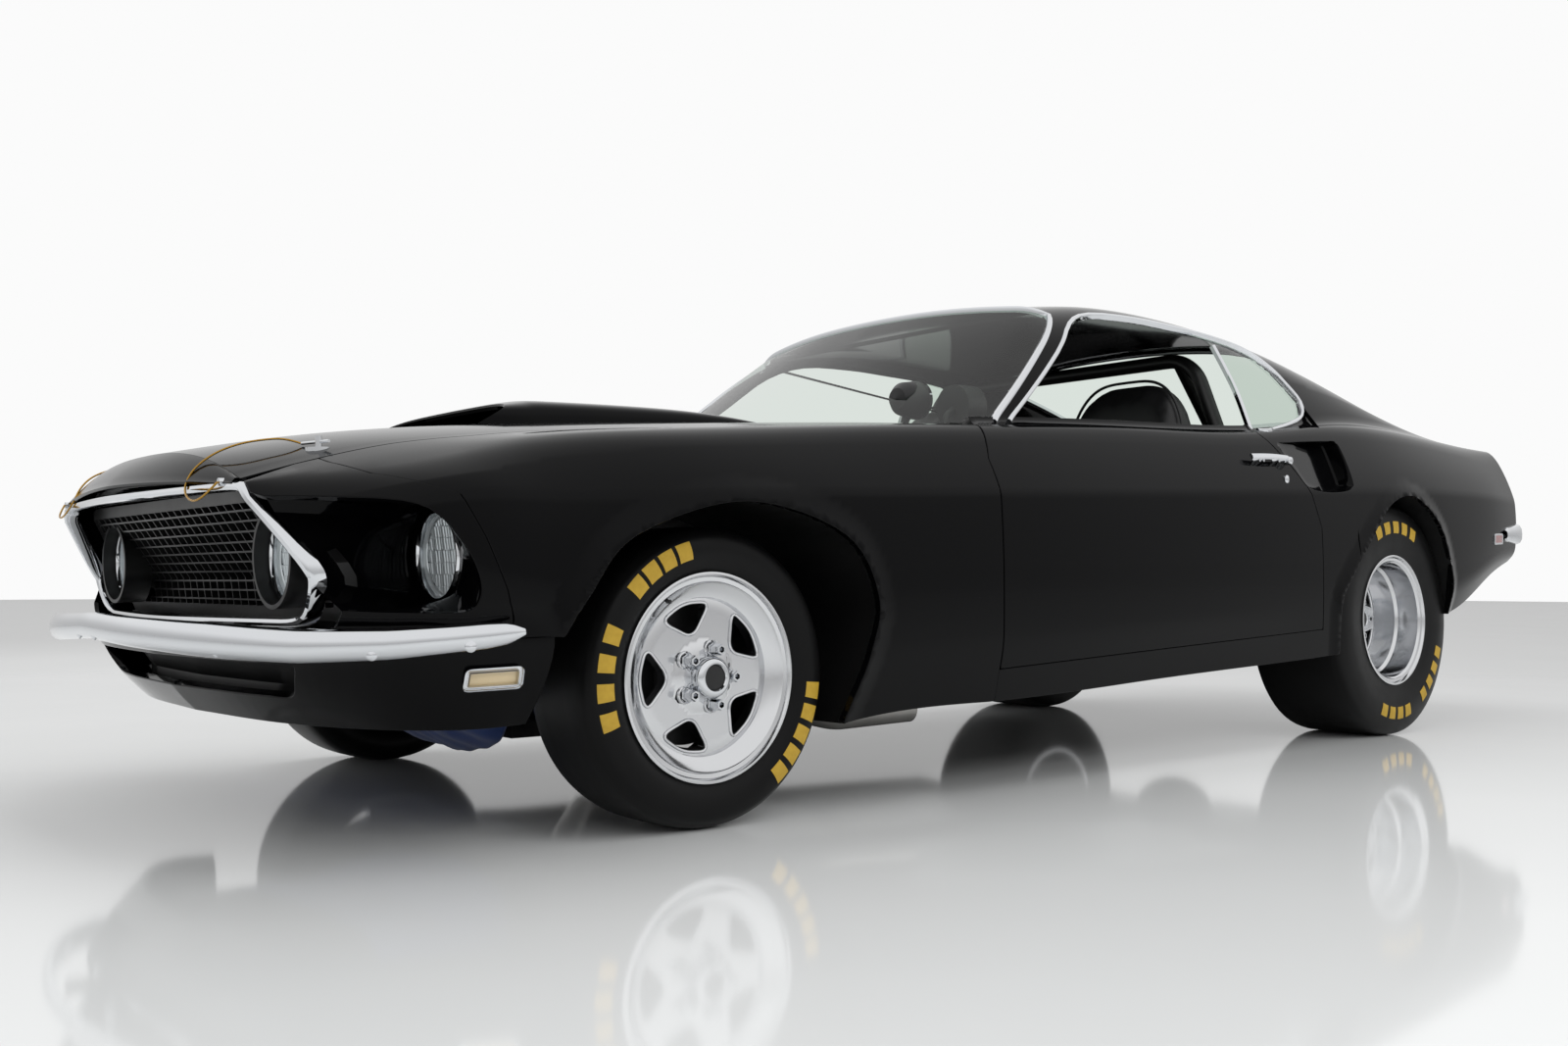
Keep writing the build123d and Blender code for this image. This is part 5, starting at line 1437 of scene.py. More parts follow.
@dataclass
class LampCove:
    """Extension round the outer lamp: brow, outer cheek and the cove sunk between them.

    Attributes:
        form: Form of the nose.
        seam: Its joint with the fender, as (x, z) from the top.
        lip: Edge of the cove on the skin, from the inner foot round the cheek to the brow, as (x, z).
        inner: Edge of the cove along the grille's rim, from the top down.
        lamp: Middle of the lamp.
        lamp_r: Radius of the cove's end.
    """

    form: BodyForm
    seam: tuple = ((2110, 722), (2091, 700), (1990, 655), (1950, 580), (1913, 493), (1889, 405))
    lip: tuple = ((2143, 462), (2100, 458), (2050, 455), (2000, 453), (1974, 457), (1959, 474), (1956, 503),
                  (1970, 545), (1993, 584), (2018, 617), (2049, 640), (2085, 651), (2135, 657), (2190, 662),
                  (2224, 664))
    inner: tuple = ((2205, 612, 635), (2185, 632, 600), (2165, 648, 550), (2152, 652, 505))
    lamp: Point = (1948, 698, 552)
    lamp_r: float = 93.0

    def build(self) -> None:
        """Makes the skin and the cove."""
        form = self.form
        line = form.trace(smooth(self.lip, 4), 2)
        top = form.trace([(2238, 566), (2148, 563), (2110, 574)], 1)
        outline = line + [(2238.0, top[0][1] - 30)] + top + form.trace(self.seam, 2)
        outline += form.trace([(1889, 405), (2150, 409)], 2)
        band = trimmed(form, outline, level=10.0, roll=2.0, depth=10)
        pair("lamp_extension_skin", band, PAINT, replaces=["headlamp_extension_{side}"])
        flat = np.array(line)
        edge = form.point(flat[:, 0], flat[:, 1])
        rim = dense([tuple(edge[-1]), *self.inner, tuple(edge[0])], 14.0, closed=False)
        loop = np.concatenate([edge, np.array(rim)[1:-1]])
        centre = np.array(self.lamp)
        angle = np.arctan2(loop[:, 2] - centre[2], loop[:, 1] - centre[1])
        ring = np.stack([np.full(len(loop), centre[0]), centre[1] + self.lamp_r * np.cos(angle),
                         centre[2] + self.lamp_r * np.sin(angle)], 1)
        rings = [loop, loop + (ring - loop) * 0.015 + (-4, 0, 0)]
        for share in (0.12, 0.3, 0.5, 0.7, 0.87, 1.0):
            back = np.array([-26 * math.sin(math.pi * share), 0, 0])
            rings.append(loop + (ring - loop) * share + back * (loop[:, :1] - centre[0] > 40))
        rings += [centre + (ring - centre) * 0.93 + (back, 0, 0) for back in (-3, -30)]
        cove = lofted(rings, closed=True)
        pair("lamp_extension_cove", cove.flipped(), PAINT)


@dataclass
class ValanceForm(Form):
    """Apron below the bumper, over the way across (900 at each end) and the height.

    Attributes:
        top: Its upper edge as (x, y), from the side to the middle.
        low: Its lower edge.
        heights: Heights of both edges.
    """

    top: tuple = ((1805, 858), (1930, 838), (2060, 776), (2170, 600), (2215, 380), (2235, 0))
    low: tuple = ((1835, 800), (1930, 790), (2020, 700), (2085, 540), (2125, 340), (2145, 0))
    heights: tuple = (403.0, 248.0)

    def edge(self, table: tuple, share: np.ndarray) -> np.ndarray:
        """Gives points (x, y) at shares -1 to 1 of an edge's way across."""
        half = smooth(table, 6)
        line = np.array(half + [(x, -y) for x, y in reversed(half[:-1])])
        way = way_along(line)
        at = (1 - share) / 2 * way[-1]
        return np.stack([np.interp(at, way, line[:, 0]), np.interp(at, way, line[:, 1])], 1)

    def point(self, a: np.ndarray, b: np.ndarray) -> np.ndarray:
        """Gives points of the apron."""
        share = np.asarray(a, float) / 900.0
        down = np.clip((self.heights[0] - b) / (self.heights[0] - self.heights[1]), 0, 1)
        top, low = self.edge(self.top, share), self.edge(self.low, share)
        flat = top + (low - top) * (down ** 1.6)[:, None]
        return np.stack([flat[:, 0], flat[:, 1], b], 1)

    def normal(self, a: np.ndarray, b: np.ndarray) -> np.ndarray:
        """Gives normals that point out."""
        return -super().normal(a, b)


def build_valance() -> None:
    """Makes the apron with its air opening, and a dark panel behind it that paints the shade inside the
    opening.
    """
    form = ValanceForm()
    low, high = form.heights[1] + 1, form.heights[0]
    outer = [(-899, low), (899, low), (899, high), (-899, high)]
    hole = rounded([(-470, 302), (470, 302), (500, 372), (-500, 372)], 24.0)
    piece("front_apron", trimmed(form, outer, [hole], roll=3.0, depth=14), PAINT, "root",
          replaces=["front_valance"])
    # A dark sheet close behind the opening, put there as painted shade so that the opening reads dark.
    across = np.linspace(-560, 560, 41)
    rings = [form.point(across, np.full(41, z)) * (1, 0.94, 1) - (back, 0, 0)
             for z, back in ((396, 40), (360, 70), (320, 70), (272, 30))]
    piece("apron_shade_panel", lofted(rings[::-1], closed=False), MOULDED, "root")


@dataclass
class HoodScoop:
    """Open air scoop on the hood: a low smooth shell whose mouth faces forward.

    Attributes:
        form: Form of the nose.
        table: Stations as (x, half width, height over the hood).
        wall: Thickness at the mouth.
    """

    form: BodyForm
    table: tuple = ((1660, 318, 2), (1600, 311, 28), (1540, 304, 52), (1440, 293, 60), (1200, 266, 54),
                    (1000, 241, 44), (850, 222, 27), (740, 208, 8), (700, 204, 0))
    wall: float = 12.0

    def ring(self, x: float, half: float, rise: float, inset: float = 0.0) -> np.ndarray:
        """Gives one section from its left foot over the top to its right foot."""
        turn = np.linspace(0, math.pi, 49)
        cos, sin = np.cos(turn), np.sin(turn)
        y = (half - inset) * blunt(cos, 0.32)
        up = np.maximum(rise - inset, 0.5) * sin ** 0.42
        at = self.form.trace([(x, 600.0)], 1)[0][1]
        girth = np.linspace(at, 2 * self.form.middle - at, 241)
        skin = self.form.point(np.full(241, x), girth)
        base = np.interp(-y, -skin[:, 1], skin[:, 2])
        return np.stack([np.full(49, x), y, base + up - 3.0], 1)

    def build(self) -> None:
        """Makes the scoop."""
        rows = Spline(self.table)
        stations = np.linspace(1540, 700, 40)
        sizes = rows.at(stations)
        outer = [self.ring(x, *row) for x, row in zip(stations, sizes)]
        front = outer[0].copy()
        lean = np.clip((front[:, 2].max() - front[:, 2]) / 52.0, 0, 1.4)
        front[:, 0] += 95 * lean
        mouth = self.ring(1536, 304, 52, self.wall)
        mouth[:, 0] += 95 * np.clip((front[:, 2].max() - mouth[:, 2] - self.wall) / 52.0, 0, 1.2)
        deep = self.ring(1280, 268, 50, self.wall + 4)
        shell = [deep, mouth + (-30, 0, 0), mouth, (mouth + front) / 2 + (4, 0, 1), front, *outer[1:]]
        made = lofted(shell[::-1], closed=False)
        piece("hood_scoop_shell", made, PAINT, "hood", replaces=["hood_scoop"])
        back = Shape(np.concatenate([deep, deep[:1]]), [tuple(range(len(deep)))])
        piece("hood_scoop_duct_end", back, SEAL, "hood")


@dataclass
class Brightwork:
    """Polished trim round the glass, door handles and locks.

    Attributes:
        form: Form of the cabin.
        shell: Painted body that has the openings.
        divider: Line of the post between door glass and quarter glass, as (x, z).
    """

    form: BodyForm
    shell: BodyShell
    divider: tuple = ((-640, 1118), (-648, 1040), (-648, 960), (-626, 850))

    def strip(self, line: Outline, width: float, height: float, closed: bool = False,
              rise: float = 1.0) -> Shape:
        """Gives a crowned strip along a line on the skin, with flanges that reach into the gap."""
        path, up = lifted(self.form, line, rise)
        profile = [(a, b if b > -1 else -12.0) for a, b in crowned(width, height)]
        return swept(path, profile, up, closed=closed)

    def build(self) -> None:
        """Makes the trim."""
        form, shell = self.form, self.shell
        side = form.trace(smooth(shell.window, 3), 2)
        pair("side_window_trim", self.strip(side, 13.0, 5.0, rise=2.5), CHROME)
        screen = form.trace(shell.windshield_side, 2) + form.trace(smooth(shell.windshield_top, 4), 1)[1:]
        screen = screen + form.other(screen)[1:]
        piece("windshield_trim", self.strip(screen, 15.0, 5.0, rise=0.0), CHROME, "root")
        glass = shell.glass_outline()
        piece("rear_glass_trim", self.strip(glass, 14.0, 5.0, closed=True), CHROME, "root")
        post = np.array(smooth(self.divider, 5))
        path = np.stack([post[:, 0], 775 - 0.47 * (post[:, 1] - 835) - 2, post[:, 1]], 1)
        bar = swept(path, [(-7, -7), (7, -7), (7, 4), (4, 7), (-4, 7), (-7, 4)],
                    [(0, 0.9, 0.42)] * len(path))
        pair("quarter_window_post", bar, CHROME)
        self.handle()

    def spots(self, *line: Sequence[float]) -> np.ndarray:
        """Gives the points of a short (x, z) line laid on the skin."""
        return lifted(self.form, self.form.trace(line, 2), 0.0)[0]

    def handle(self) -> None:
        """Makes the door handle with its button, and the lock, which ride with the door."""
        form = self.form
        path, up = lifted(form, form.trace([(-462, 759), (-648, 757)], 2), 0.0)
        lift = 17 + 5 * np.sin(math.pi * np.linspace(0, 1, len(path)))
        grip = swept(path + up * lift[:, None],
                     [(9, 0), (7, 4), (0, 6), (-7, 4), (-9, 0), (-6, -3), (6, -3)], up)
        foot, rear = self.spots((-500, 757), (-520, 757)), self.spots((-600, 757), (-632, 757))
        button = self.spots((-650, 757), (-652, 757))
        stub = [(-6, 8), (4, 7), (8, 5), (18, 5), (18, 0.5)]
        push = [(-4, 12), (22, 12), (26, 10), (28, 6), (28, 0.5)]
        made = [spun(stub, tuple(at), 20, full=False) for at in (foot[0], foot[-1], rear[0], rear[-1])]
        made.append(spun(push, tuple(button[0]), 28, full=False))
        pair("door_handle", grip.joined(*made), CHROME, "door_{side}_body")
        spot = self.spots((-627, 703), (-628, 703))
        lock = spun([(-4, 12), (3, 12), (5, 9), (6, 0.5)], tuple(spot[0]), 24, full=False)
        pair("door_lock", lock, CHROME, "door_{side}_body")


@dataclass
class Liners:
    """Dark inner wheel wells, and inner skins of doors, hood and trunk lid.

    Attributes:
        shell: Painted body.
    """

    shell: BodyShell

    def well(self, form: BodyForm, arch: Sequence[tuple[float, float]], inner: float) -> Shape:
        """Gives a curved sheet over a wheel, from behind the arch lip inwards."""
        grow, hub_z = 5.0, 300.0
        line = np.array(dense(smooth(arch, 6), 12.0, closed=False))
        lip = form.point(line[:, 0], form.find(line[:, 0], line[:, 1], 2))[:, 1] - 3.0
        centre = np.array([line[:, 0].mean(), hub_z])
        away = line - centre
        line = line + away / np.linalg.norm(away, axis=1)[:, None] * grow
        rings = [np.stack([line[:, 0], lip + (inner - lip) * share, line[:, 1]], 1)
                 for share in np.linspace(0, 1, 8)]
        return lofted(rings, closed=False)

    def inner(self, form: BodyForm, outline: Outline, depth: float, draw: float) -> Shape:
        """Gives the bare inner sheet of a panel, sunk by depth and drawn in from its edge."""
        return trimmed(Inset(form, depth), shrunk(outline, draw), depth=0, level=Level.COARSE.value)

    def build(self) -> None:
        """Makes the liners."""
        shell, cabin, nose = self.shell, self.shell.cabin, self.shell.nose
        pair("front_wheel_well", self.well(nose, ARCH_FRONT, 446.0), SATIN)
        pair("rear_wheel_well", self.well(cabin, ARCH_REAR, 500.0), SATIN)
        pair("door_inner_panel", self.inner(cabin, shell.door_outline(), 27.0, 3.0), MOULDED,
             "door_{side}_body")
        piece("trunk_lid_inner", self.inner(cabin, cabin.loop(shell.trunk), 14.0, 7.0), SATIN,
              "trunk_lid_body")
        piece("hood_inner", self.inner(nose, shell.hood_outline(), 15.0, 3.0), SATIN, "hood")


@dataclass
class Glazing:
    """Windshield, rear glass and quarter glass, let into their openings.

    Attributes:
        form: Form of the cabin.
        shell: Painted body that has the openings.
        quarter: Edge of the quarter glass, as (x, z).
    """

    form: BodyForm
    shell: BodyShell
    quarter: tuple = ((-640, 853), (-700, 855), (-861, 883), (-953, 911), (-983, 957), (-947, 1012),
                      (-893, 1078), (-824, 1126), (-740, 1140), (-645, 1148))

    def screen(self) -> Shape:
        """Gives the windshield: a patch between the cowl, both pillars and the roof's front edge."""
        form, nose = self.form, self.shell.nose
        side = form.trace(self.shell.windshield_side, 2)
        pillar = np.array(dense([tuple(p) for p in form.point(*np.array(side).T)], 24.0, closed=False))
        top = form.trace(smooth(self.shell.windshield_top, 4), 1)
        head = form.point(*np.array(top + form.other(top)[1:]).T)
        across = np.linspace(pillar[0, 1], -pillar[0, 1], 61)
        x = cowl_edge(across)
        girth = nose.find(x, np.abs(across), 1)
        foot = nose.point(x, girth)
        foot[:, 1], foot[:, 2] = across, foot[:, 2] + 2
        foot += (pillar[0] - foot[0]) * (np.abs(across) / pillar[0, 1])[:, None] ** 4 * (1, 0, 1)
        share = (pillar[0, 1] - across) / (2 * pillar[0, 1])
        way = way_along(head)
        head = np.stack([np.interp(share * way[-1], way, head[:, k]) for k in range(3)], 1)
        right = pillar * (1, -1, 1)
        rings = []
        for k, up in enumerate(np.linspace(0, 1, len(pillar))):
            flat = foot * (1 - up) + head * up
            left_gap, right_gap = pillar[k] - flat[0], right[k] - flat[-1]
            ring = flat + np.outer((1 - share) ** 3, left_gap) + np.outer(share ** 3, right_gap)
            bulge = 10 * math.sin(math.pi * up) * np.sin(math.pi * share)
            rings.append(ring + np.outer(bulge - 4, (0.55, 0, 0.83)))
        return lofted(rings[::-1], closed=False)

    def build(self) -> None:
        """Makes the glass."""
        piece("windshield_glass", self.screen(), GLASS, "root", replaces=["windshield"])
        sunk = Inset(self.form, 7.0)
        rear = self.shell.glass_outline()
        piece("rear_glass_pane", trimmed(sunk, rear, roll=0.8, depth=4, level=20.0), GLASS, "root",
              replaces=["rear_window"])
        pane = self.form.trace(self.quarter, 2)
        pair("quarter_glass", trimmed(sunk, pane, roll=0.8, depth=4, level=20.0), GLASS)
        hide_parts("quarter_windows")


@dataclass
class Markers:
    """Marker lamps at the body's corners, each a lens in a bright frame.

    Attributes:
        front: x range and z range of the front one on the apron.
        rear: x range and z range of the rear one on the quarter.
    """

    front: tuple = (1866.0, 1960.0, 322.0, 358.0)
    rear: tuple = (-2134.0, -2040.0, 487.0, 523.0)

    def lamp(self, name: str, form: Form, box: Sequence[Sequence[float]], lens: Finish, node: str) -> None:
        """Makes the frame and the lens of one lamp on both sides.

        Args:
            name: Start of the pieces' names.
            form: Form that the lamp lies on.
            box: Its four corners in the form's parameters.
            lens: Finish of the lens.
            node: CAD node that it stands for.
        """
        frame = rounded(box, 9.0, 4)
        inner = shrunk(frame, 5.5)
        rim = trimmed(Inset(form, -5.0), frame, [inner], level=4.0, roll=1.5, depth=6)
        pair(f"{name}_frame", rim, CHROME)
        pair(f"{name}_lens", trimmed(Inset(form, -3.5), inner, level=5.0, roll=1.0, depth=4), lens)
        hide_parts(node)

    def corners(self, x0: float, x1: float, z0: float, z1: float) -> Outline:
        """Gives the corners of a box in order."""
        return [(x0, z0), (x1, z0), (x1, z1), (x0, z1)]

    def build(self, apron: ValanceForm, cabin: BodyForm) -> None:
        """Makes the front and the rear lamps."""
        across = np.linspace(420, 900, 481)
        front = []
        for x, z in self.corners(*self.front):
            found = apron.point(across, np.full(481, z))[:, 0]
            front.append((float(across[int(np.argmin(np.abs(found - x)))]), z))
        self.lamp("front_marker", apron, front, AMBER_LENS, "front_markers")
        rear = [cabin.trace([spot, spot], 2)[0] for spot in self.corners(*self.rear)]
        self.lamp("rear_marker", cabin, rear, RED_LENS, "rear_markers")


@dataclass
class OilCloth:
    """Blue absorbent cloth slung under the engine between the frame rails.

    Attributes:
        rear: Rear edge x.
        front: Front edge x.
        section: Its hang as (y, z), from the left rail to the right one; it is tied short on the right.
    """

    rear: float = 1646.0
    front: float = 1928.0
    section: tuple = ((420, 262), (414, 222), (398, 181), (356, 148), (296, 127), (200, 118), (90, 121),
                      (-40, 134), (-190, 161), (-330, 202), (-420, 258))

    def build(self) -> None:
        """Makes the cloth with its sag and creases."""
        line = np.array(smooth(self.section, 6))
        way = way_along(line)
        count, rows = 150, 46
        at = np.linspace(0, way[-1], count)
        y, z = np.interp(at, way, line[:, 0]), np.interp(at, way, line[:, 1])
        rings = []
        for i in range(rows):
            share = i / (rows - 1)
            x = self.rear + (self.front - self.rear) * share
            fold = 5.0 * np.sin(at / 27.0 + 2.2 * math.sin(share * 4.1))
            fold = fold + 3.0 * np.sin(at / 11.0 - share * 9.0)
            fold *= math.sin(math.pi * min(max(share, 0.06), 0.94)) ** 0.5
            pull = 14.0 * math.sin(math.pi * share) * np.sin(math.pi * at / way[-1])
            rise = 92.0 * min(1.0, share / 0.45) ** 1.2 * np.clip((262 - z) / 144, 0, 1)
            rings.append(np.stack([np.full(count, x) + 1.5 * np.sin(at / 40),
                                   y * (1 - 0.004 * abs(fold.mean())),
                                   z + np.clip(fold, -4, 8) + 10 - 0.6 * pull + rise], 1))
        made = piece("blue_oil_cloth", lofted(rings, closed=False), BLUE_CLOTH, "root",
                     replaces=["oil_diaper"])
        thick = made.modifiers.new("cloth_thickness", "SOLIDIFY")
        thick.thickness, thick.offset = 2.5 * MM, 0.0


@dataclass
class Seats:
    """Bucket seats in black vinyl: a cushion and a back with raised bolsters.

    Attributes:
        middle_y: y of the left seat's middle.
        cushion: Centre and half sizes of the cushion.
        back: Centre and half sizes of the back, before it leans.
        lean_deg: How far the back leans.
    """

    middle_y: float = 402.0
    cushion: tuple = ((-330, 0, 392), (252, 224, 66))
    back: tuple = ((-527, 0, 700), (58, 222, 330))
    lean_deg: float = 9.0

    def taper(self, up: np.ndarray) -> np.ndarray:
        """Gives the share of a back's width that is left at heights -1 to 1."""
        return 1 - 0.16 * np.clip((up - 0.1) / 0.9, 0, 1) ** 2

    def pad(self, half: Sequence[float], upright: bool) -> Shape:
        """Gives one pad about its own centre.

        Args:
            half: Half sizes along x, y and z.
            upright: True for a back, whose face looks forward, False for a cushion.

        Returns:
            The pad with its bolsters.
        """
        count, layers = 64, 19
        turns = np.linspace(0, 2 * math.pi, count, endpoint=False)
        cos, sin = np.cos(turns), np.sin(turns)
        wide, tall = half[1], half[2] if upright else half[0]
        deep = half[0] if upright else half[2]
        rings = []
        for angle in np.linspace(-89, 89, layers):
            level = math.sin(math.radians(angle))
            size = math.cos(math.radians(angle)) ** 0.32
            across = wide * size * blunt(cos, 0.55)
            along = tall * size * blunt(sin, 0.55)
            up = np.full(count, deep * math.copysign(abs(level) ** 0.6, level))
            if level > 0:
                share = np.clip((np.abs(across) / wide - 0.55) / 0.3, 0, 1)
                up = up + level * (26 * share ** 2 * (3 - 2 * share) - 12)
            rings.append(np.stack([along, across, up], 1))
        made = lofted(rings, closed=True)
        ends = [tuple(range(count))[::-1], tuple(range((layers - 1) * count, layers * count))]
        made = Shape(made.points, made.faces + ends)
        if upright:
            x, y, z = made.points.T
            made = Shape(np.stack([z, y * self.taper(x / tall), x], 1), made.faces).flipped()
        return made

    def swell(self, pad: bpy.types.Object, cap: float) -> None:
        """Blows a pad up as cloth and applies the result.

        Args:
            pad: The object.
            cap: Furthest that a point may move, in metres.
        """
        scene = bpy.context.scene
        remesh = pad.modifiers.new("even_mesh", "REMESH")
        remesh.mode, remesh.voxel_size = "VOXEL", 0.011
        graph = bpy.context.evaluated_depsgraph_get()
        finish = pad.data.materials[0]
        pad.data = bpy.data.meshes.new_from_object(pad.evaluated_get(graph))
        pad.modifiers.clear()
        start = np.empty(len(pad.data.vertices) * 3)
        pad.data.vertices.foreach_get("co", start)
        cloth = pad.modifiers.new("cloth", "CLOTH")
        cloth.settings.use_pressure = True
        cloth.settings.uniform_pressure_force = 4.0
        cloth.settings.effector_weights.gravity = 0.0
        cloth.settings.quality = 4
        for frame in range(1, 21):
            scene.frame_set(frame)
        graph = bpy.context.evaluated_depsgraph_get()
        pad.data = bpy.data.meshes.new_from_object(pad.evaluated_get(graph))
        pad.modifiers.clear()
        scene.frame_set(1)
        end = np.empty_like(start)
        pad.data.vertices.foreach_get("co", end)
        move = (end - start).reshape(-1, 3)
        far = np.linalg.norm(move, axis=1)
        move *= np.minimum(1.0, cap / np.maximum(far, 1e-9))[:, None]
        pad.data.vertices.foreach_set("co", start + move.ravel())
        pad.data.materials.clear()
        pad.data.materials.append(finish)
        pad.data.polygons.foreach_set("use_smooth", [True] * len(pad.data.polygons))
        fine = pad.modifiers.new("subdivision", "SUBSURF")
        fine.levels = fine.render_levels = 1

    def piping(self, half: Sequence[float], upright: bool) -> Shape:
        """Gives the sewn welt round the face of a pad."""
        count, welt_r = 96, 4.5
        turns = np.linspace(0, 2 * math.pi, count, endpoint=False)
        wide, tall = half[1] * 0.985, (half[2] if upright else half[0]) * 0.985
        deep = (half[0] if upright else half[2]) * 0.62
        across, along = wide * blunt(np.cos(turns), 0.55), tall * blunt(np.sin(turns), 0.55)
        if upright:
            path = np.stack([np.full(count, deep), across * self.taper(along / tall), along], 1)
            up = [(1.0, 0.0, 0.0)] * count
        else:
            path = np.stack([along, across, np.full(count, deep)], 1)
            up = [(0.0, 0.0, 1.0)] * count
        ring = [(welt_r * math.cos(a), welt_r * math.sin(a))
                for a in np.linspace(0, 2 * math.pi, 10, endpoint=False)]
        return swept(path, ring, up, closed=True)

    def build(self) -> None:
        """Makes both seats."""
        for name, (centre, half), lean in (("cushion", self.cushion, -4.0),
                                           ("back", self.back, -self.lean_deg)):
            upright = name == "back"
            centre = (centre[0], centre[1] + self.middle_y, centre[2])
            shape = turned(self.pad(half, upright), (0, lean, 0), centre)
            welt = turned(self.piping(half, upright), (0, lean, 0), centre)
            pair(f"seat_{name}", shape, VINYL)
            pair(f"seat_{name}_welt", welt, VINYL)
            for side in ("left", "right"):
                pad = bpy.data.objects[f"seat_{name}_{side}"]
                self.swell(pad, 0.012)
        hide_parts("seats")
        legs = []
        for y in (self.middle_y - 180.0, self.middle_y + 180.0):
            bend = [(-560, y, 262), (-560, y, 322), (-110, y, 322), (-110, y, 262)]
            path = dense(bend, 30.0, closed=False)
            legs.append(swept(path, [(-9, -9), (9, -9), (9, 9), (-9, 9)], [(0.0, 1.0, 0.0)] * len(path)))
        pair("seat_frame", legs[0].joined(legs[1]), SATIN)


@dataclass
class Tachometer:
    """Round revolution counter on the dashboard, its dial turned to the driver.

    Attributes:
        spot: Centre of the dial.
        radius: Outer radius.
    """

    spot: Point = (395, 400, 930)
    radius: float = 50.0

    def build(self) -> None:
        """Makes the cup, its rim, the dial and the bracket."""
        r = self.radius
        cup = [(-3, r - 5), (3, r), (-4, r + 1), (-60, r - 6), (-82, r - 22), (-88, 0.5)]
        rim = [(-2, r - 6), (5, r - 5), (6, r - 1), (3, r + 2), (-8, r + 2)]
        dial = [(-3, r - 5), (-4, 0.5)]
        for part, profile, finish in (("cup", cup, MOULDED), ("rim", rim, CHROME),
                                      ("dial", dial, LAMP_BOWL)):
            shape = spun(profile, (0, 0, 0), 48, full=False)
            piece(f"tachometer_{part}", turned(shape, (0.0, 0.0, 95.0), self.spot), finish, "root")
        x, y, z = self.spot
        path = [(x + 40, y, z - r + 2), (x + 60, y, z - r - 30), (x + 70, y, z - r - 70)]
        foot = swept(path, [(-9, -5), (9, -5), (9, 5), (-9, 5)], [(0.0, 1.0, 0.0)] * 3)
        piece("tachometer_foot", foot, MOULDED, "root")


# ---- wheels and tyres ----


@dataclass
class WheelFace(Form):
    """Front of a wheel's centre, over x and z from its axle.

    Attributes:
        mid: Half width y of its face.
        hub_rise: How far the hub stands out.
        hub_r: Radius of the hub's dome.
    """

    mid: float
    hub_rise: float = 9.0
    hub_r: float = 74.0

    def point(self, a: np.ndarray, b: np.ndarray) -> np.ndarray:
        """Gives the points of the face."""
        r = np.hypot(a, b)
        dome = self.hub_rise * np.clip(1 - (r / self.hub_r) ** 3, 0, 1)
        dome = dome - 4 * np.clip((r - 130) / 30, 0, 1) ** 2
        return np.stack([a, self.mid + dome, b], 1)


